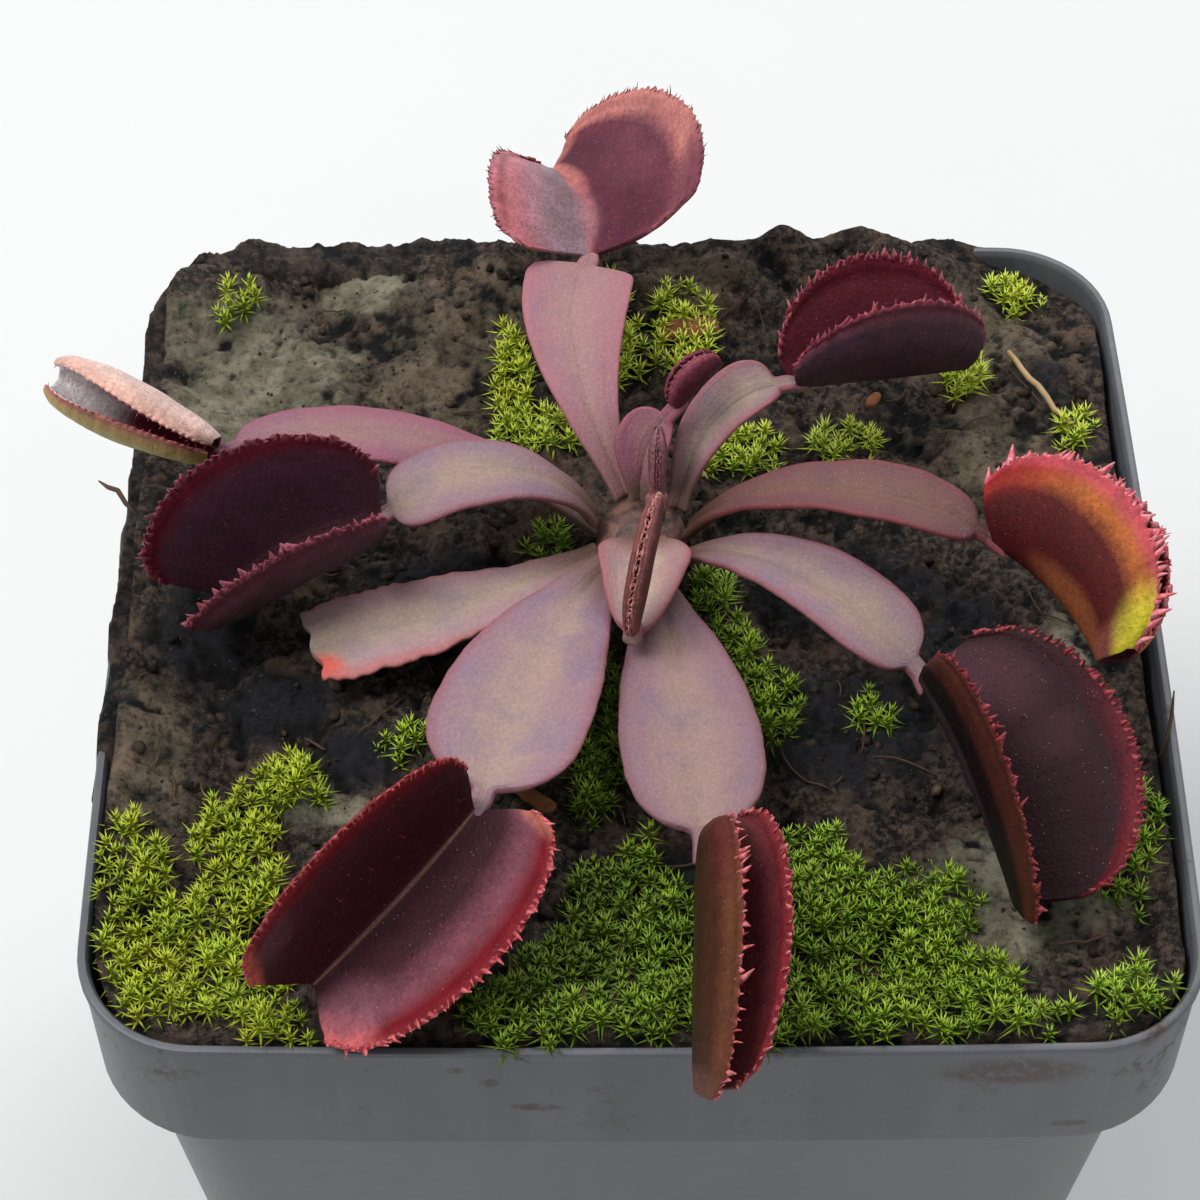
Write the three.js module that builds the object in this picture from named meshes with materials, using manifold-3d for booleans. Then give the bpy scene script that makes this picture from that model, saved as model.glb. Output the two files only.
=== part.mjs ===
// Potted Venus flytrap: a small square nursery pot filled with moist peat, star moss growing
// on the peat, and a low rosette of winged leaf stalks that end in toothed, two-lobed traps.
// Millimetres and degrees, +Z up, origin at the centre of the pot's underside.
import * as THREE from 'three';
import { mergeVertices } from 'three/addons/utils/BufferGeometryUtils.js';
import Module from 'manifold-3d';

const wasm = await Module();
wasm.setup();

// ---------------------------------------------------------------- driving dimensions
const FIT_GAP = 0.35;            // air between pieces that touch on the real plant

const POT_WIDTH = 76;            // outside, across the lip
const POT_HEIGHT = 68;
const WALL = 0.8;
const COLLAR_HEIGHT = 11.7;      // the wide band under the lip
const COLLAR_STEP = 1.9;         // how far the collar stands out of the body
const BODY_DRAFT = 6;            // degrees the body leans in towards its base
const CORNER_RADIUS = 8.4;
const SIDE_BOW = 0.3;            // the soft sides bow out by this much
const LIP_HEIGHT = 0.9;
const DRAIN_RADIUS = 3.4;
const DRAIN_OFFSET = 17;         // drain holes stand off both centre lines

const SOIL_LEVEL = -1.0;         // mean level, measured from the lip
const CROWN = { x: 0.4, y: 5.8, radius: 3.35, top: 3.4, bottom: -5.5 };

const STALK_THICKNESS = 0.8;
const TRAP_THICKNESS = 0.65;
const TOOTH_LENGTH = 0.95;
const NECK_GAP = 0.55;           // between a stalk's neck and its trap
const NECK_LENGTH = 1.1;         // bare stalk between the wings and the trap

// ---------------------------------------------------------------- finishes
const finish = (color, roughness, metalness = 0) =>
  new THREE.MeshStandardMaterial({ color, roughness, metalness });
const POT_PLASTIC = finish(0x5a5c60, 0.5);
const PEAT = finish(0x2a221c, 0.95);
const MOSS = finish(0x86a81f, 0.8);
const CROWN_FLESH = finish(0x8d6f66, 0.6);
const STALK_SKIN = finish(0x98777f, 0.55);
const TRAP_SKIN = finish(0x571c25, 0.5);
const PALE_TRAP_SKIN = finish(0xa9555b, 0.5);

// ---------------------------------------------------------------- shared maths
const rad = THREE.MathUtils.degToRad;
const V = (x, y, z) => new THREE.Vector3(x, y, z);
const LIP_Z = POT_HEIGHT;

function seeded(seed) {
  let state = seed >>> 0;
  return () => {
    state = (Math.imul(state, 1664525) + 1013904223) >>> 0;
    return state / 4294967296;
  };
}

function direction(heading, pitch) {
  const h = rad(heading);
  const p = rad(pitch);
  return V(Math.cos(p) * Math.cos(h), Math.cos(p) * Math.sin(h), Math.sin(p));
}

// Closed geometry from points and triangles, as a manifold solid.
function solidFrom(points, triangles) {
  const geometry = new THREE.BufferGeometry();
  const flat = new Float32Array(points.flatMap((p) => [p.x, p.y, p.z]));
  geometry.setAttribute('position', new THREE.BufferAttribute(flat, 3));
  geometry.setIndex(triangles.flat());
  return solidOf(geometry);
}

function solidOf(geometry) {
  geometry.deleteAttribute('normal');
  geometry.deleteAttribute('uv');
  const merged = mergeVertices(geometry, 1e-4);
  return new wasm.Manifold(new wasm.Mesh({
    numProp: 3,
    vertProperties: new Float32Array(merged.attributes.position.array),
    triVerts: new Uint32Array(merged.index.array),
  }));
}

const group = new THREE.Group();
group.name = 'potted_venus_flytrap';

function addMesh(name, solid, material) {
  const body = largestBody(solid);
  const mesh = body.getMesh();
  const geometry = new THREE.BufferGeometry();
  geometry.setAttribute('position', new THREE.BufferAttribute(mesh.vertProperties, 3));
  geometry.setIndex(new THREE.BufferAttribute(mesh.triVerts, 1));
  geometry.computeVertexNormals();
  const piece = new THREE.Mesh(geometry, material);
  piece.name = name;
  group.add(piece);
  return body;
}

function largestBody(solid) {
  return solid.decompose().sort((a, b) => b.volume() - a.volume())[0];
}

// ---------------------------------------------------------------- pot
// One ring of the rounded square with softly bowed sides.
const SIDE_STEPS = 4;
const CORNER_STEPS = 5;
function potRing(half, corner, z) {
  const ring = [];
  const straight = half - corner;
  for (let quarter = 0; quarter < 4; quarter += 1) {
    const turn = quarter * Math.PI / 2;
    const put = (x, y) => ring.push(
      V(x * Math.cos(turn) - y * Math.sin(turn), x * Math.sin(turn) + y * Math.cos(turn), z));
    for (let i = 0; i <= SIDE_STEPS; i += 1) {
      const t = -1 + 2 * i / SIDE_STEPS;
      put(half + SIDE_BOW * (1 - t * t), straight * t);
    }
    for (let i = 1; i < CORNER_STEPS; i += 1) {
      const a = i * Math.PI / 2 / CORNER_STEPS;
      put(straight + corner * Math.cos(a), straight + corner * Math.sin(a));
    }
  }
  return ring;
}

// A closed skin through rings, capped by a fan at its first and last ring.
function loft(rings) {
  const count = rings[0].length;
  const points = rings.flat();
  const triangles = [];
  for (let r = 0; r + 1 < rings.length; r += 1) {
    for (let i = 0; i < count; i += 1) {
      const j = (i + 1) % count;
      const a = r * count;
      const b = a + count;
      triangles.push([a + i, a + j, b + j], [a + i, b + j, b + i]);
    }
  }
  const centre = (ring) => ring.reduce((s, p) => s.add(p), V(0, 0, 0)).divideScalar(count);
  const first = points.push(centre(rings[0])) - 1;
  const last = points.push(centre(rings[rings.length - 1])) - 1;
  const end = (rings.length - 1) * count;
  for (let i = 0; i < count; i += 1) {
    const j = (i + 1) % count;
    triangles.push([first, j, i], [last, end + i, end + j]);
  }
  return solidFrom(points, triangles);
}

const LIP_HALF = POT_WIDTH / 2 - SIDE_BOW;
const COLLAR_BOTTOM = POT_HEIGHT - COLLAR_HEIGHT;
const BODY_HALF = LIP_HALF - COLLAR_STEP - 0.5;      // just under the collar
const bodyHalf = (z) => BODY_HALF - (COLLAR_BOTTOM - z) * Math.tan(rad(BODY_DRAFT));
const bodyCorner = (z) => CORNER_RADIUS - 1 - (COLLAR_BOTTOM - z) * 0.03;
const COLLAR_INSIDE = LIP_HALF - WALL;

function makePot() {
  const floor = WALL + 0.4;
  const shell = [
    potRing(bodyHalf(0) - 0.9, bodyCorner(0) - 0.9, 0),
    potRing(bodyHalf(0) - 0.25, bodyCorner(0) - 0.25, 0.3),
    potRing(bodyHalf(1.1), bodyCorner(1.1), 1.1),
    potRing(BODY_HALF, bodyCorner(COLLAR_BOTTOM), COLLAR_BOTTOM),
    potRing(LIP_HALF - 0.5, CORNER_RADIUS + 0.2, COLLAR_BOTTOM),
    potRing(LIP_HALF - 0.25, CORNER_RADIUS + 0.3, COLLAR_BOTTOM + 0.3),
    potRing(LIP_HALF - 0.15, CORNER_RADIUS, POT_HEIGHT - LIP_HEIGHT),
    potRing(LIP_HALF, CORNER_RADIUS, POT_HEIGHT - LIP_HEIGHT + 0.2),
    potRing(LIP_HALF, CORNER_RADIUS, POT_HEIGHT - 0.25),
    potRing(LIP_HALF - 0.2, CORNER_RADIUS - 0.2, POT_HEIGHT),
    potRing(LIP_HALF - 0.5, CORNER_RADIUS - 0.5, POT_HEIGHT),
    potRing(COLLAR_INSIDE, CORNER_RADIUS - WALL, POT_HEIGHT - 0.4),
    potRing(COLLAR_INSIDE - 0.3, CORNER_RADIUS - WALL, COLLAR_BOTTOM + WALL),
    potRing(BODY_HALF - WALL, bodyCorner(COLLAR_BOTTOM) - WALL, COLLAR_BOTTOM + WALL * 0.6),
    potRing(bodyHalf(floor) - WALL, bodyCorner(floor) - WALL, floor),
  ];
  let pot = loft(shell);
  for (const x of [-DRAIN_OFFSET, DRAIN_OFFSET]) {
    for (const y of [-DRAIN_OFFSET, DRAIN_OFFSET]) {
      const drill = new THREE.CylinderGeometry(DRAIN_RADIUS, DRAIN_RADIUS, 6, 12);
      drill.rotateX(Math.PI / 2).translate(x, y, 0);
      pot = pot.subtract(solidOf(drill));
    }
  }
  return pot;
}

// ---------------------------------------------------------------- soil
// Smooth value noise from a hashed lattice, between -1 and 1.
function lattice(ix, iy, seed) {
  let h = Math.imul(ix, 374761393) + Math.imul(iy, 668265263) + Math.imul(seed, 2246822519);
  h = Math.imul(h ^ (h >>> 13), 1274126177);
  return ((h ^ (h >>> 16)) >>> 0) / 2147483648 - 1;
}

function noise(x, y, size, seed) {
  const u = x / size;
  const v = y / size;
  const iu = Math.floor(u);
  const iv = Math.floor(v);
  const ease = (t) => t * t * (3 - 2 * t);
  const s = ease(u - iu);
  const t = ease(v - iv);
  const low = lattice(iu, iv, seed) * (1 - s) + lattice(iu + 1, iv, seed) * s;
  const high = lattice(iu, iv + 1, seed) * (1 - s) + lattice(iu + 1, iv + 1, seed) * s;
  return low * (1 - t) + high * t;
}

const ramp = (t) => THREE.MathUtils.smoothstep(t, 0, 1);
const lump = (x, y, cx, cy, r) => Math.exp(-((x - cx) ** 2 + (y - cy) ** 2) / (r * r));

// Soil height: crumbs, clods, a rise to the lip in front and on the left, banks at the back and left.
function soilHeight(x, y) {
  const crumbs = 0.65 * noise(x, y, 8.5, 3) + 0.5 * noise(x, y, 3.4, 11);
  const backBank = 2.5 * ramp((y - 27) / 7) * (0.75 + 0.5 * noise(x, y, 6, 5)) * ramp((31 - x) / 12);
  const leftBank = 1.9 * ramp((-28 - x) / 6) * ramp((34 - Math.abs(y - 4)) / 8) * (0.7 + 0.5 * noise(x, y, 6, 7));
  const peak = 2.8 * lump(x, y, 12.1, 36.3, 2.2);
  const clods = 1.3 * lump(x, y, -22, -6, 5.5) + 1.1 * lump(x, y, 8, 35, 5) + 1.5 * lump(x, y, -35, 6, 6);
  const hollow = -0.9 * lump(x, y, -3, -22, 6) - 0.7 * lump(x, y, 16, -3, 7);
  const atWall = 0.8 * ramp((Math.max(-y, -x) - 29) / 6);
  return LIP_Z + SOIL_LEVEL + atWall + crumbs + backBank + leftBank + peak + clods + hollow;
}

// Point on the rounded square soil outline for a place on the rim of the unit square.
const SOIL_HALF = COLLAR_INSIDE - FIT_GAP - 0.05;
const SOIL_CORNER = CORNER_RADIUS - WALL - FIT_GAP;
const WALL_DRAFT = 0.4;          // how far the collar's inside leans in down to the shoulder
const SOIL_SHOULDER = COLLAR_BOTTOM + WALL + 0.5;    // where the soil steps in with the pot
const soilLimit = (z) => (z >= SOIL_SHOULDER
  ? { half: SOIL_HALF - WALL_DRAFT, corner: SOIL_CORNER }
  : { half: bodyHalf(z) - WALL - FIT_GAP - 0.1, corner: bodyCorner(z) - WALL - FIT_GAP });

function onRoundedSquare(u, v, half, corner) {
  const straight = half - corner;
  const x = u * half;
  const y = v * half;
  const dx = Math.abs(x) - straight;
  const dy = Math.abs(y) - straight;
  if (dx <= 0 || dy <= 0) return { x, y };
  const scale = corner / Math.max(dx, dy);
  const ux = dx * scale;
  const uy = dy * scale;
  const reach = Math.max(dx, dy) / Math.hypot(ux, uy);
  return { x: Math.sign(x) * (straight + ux * reach), y: Math.sign(y) * (straight + uy * reach) };
}

const SOIL_CELLS = 24;
const SOIL_BOTTOM = WALL + 0.4 + FIT_GAP;
function soilBlock(grow) {
  const n = SOIL_CELLS;
  const points = [];
  const triangles = [];
  for (let j = 0; j <= n; j += 1) {
    for (let i = 0; i <= n; i += 1) {
      const p = onRoundedSquare(-1 + 2 * i / n, -1 + 2 * j / n, SOIL_HALF + grow, SOIL_CORNER + grow);
      points.push(V(p.x, p.y, soilHeight(p.x, p.y) + grow));
    }
  }
  const at = (i, j) => j * (n + 1) + i;
  for (let j = 0; j < n; j += 1) {
    for (let i = 0; i < n; i += 1) {
      const [a, b, c, d] = [at(i, j), at(i + 1, j), at(i + 1, j + 1), at(i, j + 1)];
      if ((i + j) % 2) triangles.push([a, b, c], [a, c, d]);
      else triangles.push([a, b, d], [b, c, d]);
    }
  }
  // rim of the grid, counter-clockwise, then the side skirt and the bottom
  const rim = [];
  for (let i = 0; i < n; i += 1) rim.push([i, 0]);
  for (let j = 0; j < n; j += 1) rim.push([n, j]);
  for (let i = n; i > 0; i -= 1) rim.push([i, n]);
  for (let j = n; j > 0; j -= 1) rim.push([0, j]);
  let upper = rim.map(([i, j]) => at(i, j));
  for (const z of [SOIL_SHOULDER, SOIL_SHOULDER - 0.3, SOIL_BOTTOM]) {
    const { half, corner } = soilLimit(z);
    const lower = rim.map(([i, j]) => {
      const p = onRoundedSquare(-1 + 2 * i / n, -1 + 2 * j / n, half + grow, corner + grow);
      return points.push(V(p.x, p.y, z)) - 1;
    });
    for (let k = 0; k < rim.length; k += 1) {
      const m = (k + 1) % rim.length;
      triangles.push([upper[k], lower[k], lower[m]], [upper[k], lower[m], upper[m]]);
    }
    upper = lower;
  }
  const centre = points.push(V(0, 0, SOIL_BOTTOM)) - 1;
  for (let k = 0; k < upper.length; k += 1) {
    triangles.push([centre, upper[(k + 1) % upper.length], upper[k]]);
  }
  return solidFrom(points, triangles);
}

function makeSoil() {
  const depth = CROWN.top - CROWN.bottom + 8;
  const hole = new THREE.CylinderGeometry(CROWN.radius + FIT_GAP, CROWN.radius + FIT_GAP, depth, 16);
  hole.rotateX(Math.PI / 2);
  hole.translate(CROWN.x, CROWN.y, LIP_Z + CROWN.bottom - FIT_GAP + depth / 2);
  return soilBlock(0).subtract(solidOf(hole));
}

// ---------------------------------------------------------------- crown
// The short white bulb that every leaf grows from, set in the soil.
function makeCrown() {
  const profile = [
    [0, CROWN.bottom], [CROWN.radius * 0.7, CROWN.bottom + 0.8], [CROWN.radius, CROWN.bottom + 2.6],
    [CROWN.radius, CROWN.top - 2.2], [CROWN.radius * 0.8, CROWN.top - 0.7],
    [CROWN.radius * 0.4, CROWN.top - 0.1], [0, CROWN.top],
  ].map(([r, z]) => new THREE.Vector2(r, z));
  const bulb = new THREE.LatheGeometry(profile, 14);
  bulb.rotateX(Math.PI / 2).translate(CROWN.x, CROWN.y, LIP_Z);
  return solidOf(bulb);
}

// ---------------------------------------------------------------- leaves
// Points at `places` (0 to 1) along an arc whose heading and pitch change evenly, each with
// its own forward, sideways (to the right) and upward directions.
function spine(start, length, headings, pitches, roll, places) {
  const frames = [];
  const fine = 6;
  const point = start.clone();
  places.forEach((t, i) => {
    const heading = headings[0] + (headings[1] - headings[0]) * t;
    const pitch = pitches[0] + (pitches[1] - pitches[0]) * t;
    const forward = direction(heading, pitch);
    const level = direction(heading - 90, 0);
    const raised = level.clone().cross(forward);
    const c = Math.cos(rad(roll));
    const s = Math.sin(rad(roll));
    const side = level.clone().multiplyScalar(c).addScaledVector(raised, s);
    const up = raised.clone().multiplyScalar(c).addScaledVector(level, -s);
    frames.push({ at: point.clone(), forward, side, up, t });
    const stride = ((places[i + 1] ?? t) - t) / fine;
    for (let k = 0; k < fine; k += 1) {
      const mid = t + (k + 0.5) * stride;
      point.addScaledVector(direction(
        headings[0] + (headings[1] - headings[0]) * mid,
        pitches[0] + (pitches[1] - pitches[0]) * mid), length * stride);
    }
  });
  return frames;
}

// Closed thin sheet from a grid of points: both faces are split alike. `faces` gives how far
// the upper and the lower face stand off the grid; `teeth` adds a spike to rim segments.
function thinSheet(grid, faces, teeth = () => null) {
  const rows = grid.length;
  const cols = grid[0].length;
  const clampRow = (i) => Math.min(rows - 1, Math.max(0, i));
  const clampCol = (j) => Math.min(cols - 1, Math.max(0, j));
  const normals = grid.map((row, i) => row.map((_, j) => {
    const along = grid[clampRow(i + 1)][j].clone().sub(grid[clampRow(i - 1)][j]);
    const across = row[clampCol(j + 1)].clone().sub(row[clampCol(j - 1)]);
    return across.cross(along).normalize();
  }));
  const points = [];
  for (const offset of faces) {
    for (let i = 0; i < rows; i += 1) {
      for (let j = 0; j < cols; j += 1) {
        points.push(grid[i][j].clone().addScaledVector(normals[i][j], offset));
      }
    }
  }
  const top = (i, j) => i * cols + j;
  const under = (i, j) => rows * cols + top(i, j);
  const triangles = [];
  for (let i = 0; i + 1 < rows; i += 1) {
    for (let j = 0; j + 1 < cols; j += 1) {
      const [a, b, c, d] = [[i, j], [i, j + 1], [i + 1, j + 1], [i + 1, j]];
      triangles.push([top(...a), top(...b), top(...c)], [top(...a), top(...c), top(...d)]);
      triangles.push([under(...a), under(...c), under(...b)], [under(...a), under(...d), under(...c)]);
    }
  }
  const rim = [];
  for (let i = 0; i + 1 < rows; i += 1) rim.push([[i + 1, 0], [i, 0], 'first', i]);
  for (let j = 0; j + 1 < cols; j += 1) rim.push([[0, j], [0, j + 1], 'start', j]);
  for (let i = 0; i + 1 < rows; i += 1) rim.push([[i, cols - 1], [i + 1, cols - 1], 'last', i]);
  for (let j = 0; j + 1 < cols; j += 1) rim.push([[rows - 1, j + 1], [rows - 1, j], 'end', j]);
  for (const [p, q, edge, index] of rim) {
    const [a, b, c, d] = [top(...q), top(...p), under(...p), under(...q)];
    const spike = teeth(edge, index);
    if (spike) {
      const tip = [a, b, c, d].reduce((s, k) => s.add(points[k]), V(0, 0, 0)).divideScalar(4);
      const apex = points.push(tip.add(spike)) - 1;
      triangles.push([a, b, apex], [b, c, apex], [c, d, apex], [d, a, apex]);
    } else {
      triangles.push([a, b, c], [a, c, d]);
    }
  }
  return solidFrom(points, triangles);
}

// Width of the winged stalk at t along it: narrow foot, broad shoulders, then the thin neck.
const wingEnd = (leaf) => 1 - (leaf.neckLength ?? NECK_LENGTH) / leaf.length;
function stalkWidth(leaf, t) {
  const rise = Math.sin(Math.min(t / leaf.peak, 1) * Math.PI / 2) ** 1.6;
  if (t < leaf.peak) return leaf.foot + (leaf.width - leaf.foot) * rise;
  const q = Math.min(1, (t - leaf.peak) / (wingEnd(leaf) - leaf.peak));
  return leaf.neck + (leaf.width - leaf.neck) * Math.sqrt(1 - q ** (leaf.shoulder ?? 2.6));
}

// Rows along the stalk: even up to the widest place, closer together round the shoulders.
const SHOULDER_ROWS = [0.4, 0.72, 0.92, 1];
const RISING_ROWS = 8;
function stalkPlaces(leaf) {
  const rising = Array.from({ length: RISING_ROWS + 1 }, (_, i) => leaf.peak * i / RISING_ROWS);
  const shoulders = SHOULDER_ROWS.map((q) => leaf.peak + (wingEnd(leaf) - leaf.peak) * q);
  return shoulders[shoulders.length - 1] < 0.999 ? [...rising, ...shoulders, 1] : [...rising, ...shoulders];
}

const evenPlaces = (steps) => Array.from({ length: steps + 1 }, (_, i) => i / steps);

const STALK_ACROSS = 4;
const stalkStart = (leaf) => V(
  CROWN.x + (CROWN.radius + FIT_GAP) * Math.cos(rad(leaf.around)),
  CROWN.y + (CROWN.radius + FIT_GAP) * Math.sin(rad(leaf.around)), LIP_Z + leaf.root);
const stalkSpine = (leaf) => spine(leaf.start ?? stalkStart(leaf), leaf.length,
  leaf.headings, leaf.pitches, leaf.roll ?? 0, stalkPlaces(leaf));

function makeStalk(leaf) {
  const cos = Math.cos(rad(leaf.channel));
  const sin = Math.sin(rad(leaf.channel));
  const grid = stalkSpine(leaf).map((f) => {
    const half = stalkWidth(leaf, f.t) / 2;
    const row = [];
    for (let j = 0; j <= STALK_ACROSS; j += 1) {
      const q = -1 + 2 * j / STALK_ACROSS;
      const ragged = leaf.ragged && f.t > 0.98 ? leaf.ragged * Math.cos(q * 7) : 0;
      row.push(f.at.clone()
        .addScaledVector(f.side, half * q * cos)
        .addScaledVector(f.up, half * Math.abs(q) ** 1.4 * sin)
        .addScaledVector(f.forward, ragged));
    }
    return row;
  });
  return thinSheet(grid, [STALK_THICKNESS / 2, -STALK_THICKNESS / 2]);
}

// Trap: both lobes and the midrib as one sheet, margins toothed. A lobe leaves the midrib at
// `open` degrees from the trap's mid plane and turns by `curl` on its way to the margin.
const LOBE_STEPS = 3;
const trapSpine = (trap, start, steps) => spine(start, trap.length, trap.headings, trap.pitches,
  trap.roll, evenPlaces(steps));
function trapGrid(trap, start, steps) {
  const first = rad(trap.basalCut ?? 28);
  const last = rad(trap.tipCut ?? 28);
  const span = Math.cos(first) + Math.cos(last);
  return trapSpine(trap, start, steps).map((f) => {
    const phi = first + f.t * (Math.PI - first - last);
    const reach = -1 + 2 * (Math.cos(first) - Math.cos(phi)) / span;
    const broad = trap.depth * Math.sin(phi) ** 0.8 * (1 + (trap.taper ?? 0) * (0.5 - f.t));
    const overhang = trap.length * (0.5 + 0.5 * (1 + trap.flare) * reach - f.t);
    const lobe = ({ open, curl, size = 1, skew = 0 }, sign) => {
      const row = [];
      const reachOut = V(0, 0, 0);
      for (let k = 0; k < LOBE_STEPS; k += 1) {
        for (let part = 0; part < 3; part += 1) {
          const angle = rad(open + curl * (k + (part + 0.5) / 3) / LOBE_STEPS);
          const step = broad * size / LOBE_STEPS / 3;
          reachOut.addScaledVector(f.up, Math.cos(angle) * step);
          reachOut.addScaledVector(f.side, sign * Math.sin(angle) * step);
        }
        const v = (k + 1) / LOBE_STEPS;
        row.push(f.at.clone().add(reachOut)
          .addScaledVector(f.forward, overhang * (1 - (1 - v) ** 1.6) + skew * v));
      }
      return row;
    };
    return [...lobe(trap.left, -1).reverse(), f.at.clone(), ...lobe(trap.right, 1)];
  });
}

function makeTrap(trap, start, steps) {
  const grid = trapGrid(trap, start, steps);
  const frames = trapSpine(trap, start, steps);
  const edge = grid[0].length - 1;
  const teeth = (name, i) => {
    if (name !== 'first' && name !== 'last') return null;
    const margin = name === 'first' ? 0 : edge;
    const inner = name === 'first' ? 1 : edge - 1;
    const outward = grid[i][margin].clone().sub(grid[i][inner]).normalize();
    const size = TOOTH_LENGTH * (trap.toothScale ?? 1);
    return outward.addScaledVector(frames[i].up, trap.toothRise ?? 0.5).normalize().multiplyScalar(size);
  };
  return thinSheet(grid, [0, -TRAP_THICKNESS], teeth);
}

// `around` and `root` place the leaf's foot on the crown: its bearing and its height over the
// lip. Headings run counter-clockwise from +X, pitches upwards, each from foot to tip.
const LEAVES = [
  {
    name: 'back', around: 112, root: 2.6, length: 21.6, headings: [123, 73], pitches: [40.5, -16],
    width: 8.4, peak: 0.84, foot: 2, neck: 1.6, channel: 8,
    trap: {
      length: 12.3, depth: 9.3, headings: [88, 121], pitches: [18, -30], roll: 5, flare: 0,
      basalCut: 42, tipCut: 22, taper: 0.5, toothRise: 0.2, pale: true,
      left: { open: 53, curl: -12, size: 0.95, skew: -1.3 },
      right: { open: 68, curl: -27, size: 1.15, skew: 0.7 },
    },
  },
  {
    name: 'left', around: 172, root: 3, length: 17.7, headings: [181.5, 202], pitches: [65, -36],
    width: 6.8, peak: 0.66, foot: 2, neck: 1.5, channel: 6,
    trap: {
      length: 13.8, depth: 11.7, headings: [184, 203], pitches: [-10, -39], roll: 19, flare: 0.12,
      left: { open: 72, curl: -91 },
      right: { open: 29, curl: -24 },
    },
  },
  {
    name: 'far_left', around: 158, root: 0.9, length: 28.9, headings: [158, 200.5], pitches: [36, -3],
    width: 5.6, peak: 0.72, foot: 1.8, neck: 1.5, channel: 2,
    trap: {
      length: 13.2, depth: 8.8, headings: [149, 172], pitches: [2, 26], roll: 42, flare: 0.12,
      gap: 0.75, toothRise: 1.5, toothScale: 0.8, pale: true,
      left: { open: 45, curl: -76 },
      right: { open: 48, curl: -74 },
    },
  },
  {
    name: 'torn', around: 205, root: 1, length: 22.8, headings: [221, 193], pitches: [13, -5],
    width: 7.4, peak: 0.8, foot: 2, neck: 6.4, channel: 6, neckLength: 0, ragged: 0.5,
  },
  {
    name: 'front_left', around: 240, root: 2.6, length: 26.5, headings: [243.5, 254.5], pitches: [19.5, -6.5],
    width: 11.2, peak: 0.74, foot: 2.2, neck: 1.6, channel: 10,
    trap: {
      length: 15.9, depth: 9.9, headings: [234.5, 217], pitches: [-8, -25.5], roll: 27, flare: 0.2,
      tipCut: 32, toothScale: 0.8, left: { open: 53, curl: -13 },
      right: { open: 44.5, curl: -19.5, skew: 1 },
    },
  },
  {
    name: 'front', around: 278, root: 1.6, length: 26.8, headings: [280, 274.5], pitches: [17, -6.5],
    width: 10, peak: 0.72, foot: 2.2, neck: 1.6, channel: 8,
    trap: {
      length: 16.9, depth: 9.3, headings: [268.5, 267.5], pitches: [-2, -14], roll: 18, flare: 0.12,
      left: { open: 22, curl: -10 },
      right: { open: 28, curl: -49, skew: 1 },
    },
  },
  {
    name: 'front_right', around: 318, root: 1.2, length: 23.8, headings: [321, 320], pitches: [54.5, -34.5],
    width: 6.8, peak: 0.74, foot: 1.8, neck: 1.6, channel: 12,
    trap: {
      length: 17.5, depth: 10.9, headings: [295, 283], pitches: [-10, -14.5], roll: 17, flare: 0.12,
      left: { open: 55, curl: -7 },
      right: { open: 27, curl: -8, skew: 2.2 },
    },
  },
  {
    name: 'right', around: 350, root: 2.8, length: 24.9, headings: [338, 347], pitches: [61.5, -29],
    width: 5.6, peak: 0.7, foot: 1.8, neck: 1.4, channel: 16,
    trap: {
      length: 12.2, depth: 8.8, headings: [316, 286], pitches: [1, -4], roll: 44, flare: 0.3,
      basalCut: 24, tipCut: 20, gap: 0.95, toothRise: 1.2, pale: true,
      left: { open: 36, curl: -60, skew: -1 },
      right: { open: 36, curl: -60, skew: -1 },
    },
  },
  {
    name: 'back_right', around: 40, root: 2.4, length: 12.9, headings: [74, 13.5], pitches: [46.5, -3],
    width: 5.6, peak: 0.7, foot: 1.8, neck: 1.5, channel: 32,
    trap: {
      length: 14.2, depth: 9, headings: [22.5, 16.5], pitches: [-15.5, -7.5], roll: 10, flare: 0.12,
      basalCut: 14, tipCut: 18, left: { open: 35, curl: -19, skew: -0.6 },
      right: { open: 38, curl: -34, skew: -0.3 },
    },
  },
];

// Young leaves stand on the crown's top. `from` is the foot, measured from the crown's axis and
// the lip. The front one is unfolding: its trap is still bent back over its own broad stalk.
const YOUNG_LEAVES = [
  {
    name: 'young_front', from: [0.3, -2.6, 3.3], length: 11.8, headings: [268, 260], pitches: [34, -8],
    width: 7.2, peak: 0.34, shoulder: 1.1, foot: 3.2, neck: 1.3, neckLength: 0.8, channel: 20,
    trap: {
      length: 9.8, depth: 2.5, headings: [74, 76], pitches: [70, 6], roll: 0, flare: 0, gap: 0.8,
      toothScale: 0.45, toothRise: 1.5, left: { open: 40, curl: -55 }, right: { open: 40, curl: -55 },
    },
  },
  {
    name: 'young_middle', from: [1.1, -0.3, 4.0], length: 2.6, headings: [90, 90], pitches: [86, 88],
    width: 1.7, peak: 0.5, foot: 1.2, neck: 1.1, neckLength: 0.6, channel: 10,
    trap: {
      length: 5.4, depth: 1.6, headings: [90, 90], pitches: [88, 80], roll: 0, flare: 0,
      toothScale: 0.4, toothRise: 1.5, left: { open: 40, curl: -50 }, right: { open: 40, curl: -50 },
    },
  },
  {
    name: 'young_back', from: [-0.1, 2.4, 3.1], length: 6.8, headings: [86, 30], pitches: [66, 36],
    width: 5.4, peak: 0.6, foot: 1.8, neck: 1.3, neckLength: 0.6, channel: 36,
    trap: {
      length: 4.6, depth: 2.6, headings: [40, 30], pitches: [38, 26], roll: 8, flare: 0,
      toothScale: 0.45, toothRise: 1.5, left: { open: 38, curl: -52 }, right: { open: 38, curl: -52 },
    },
  },
];

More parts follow.
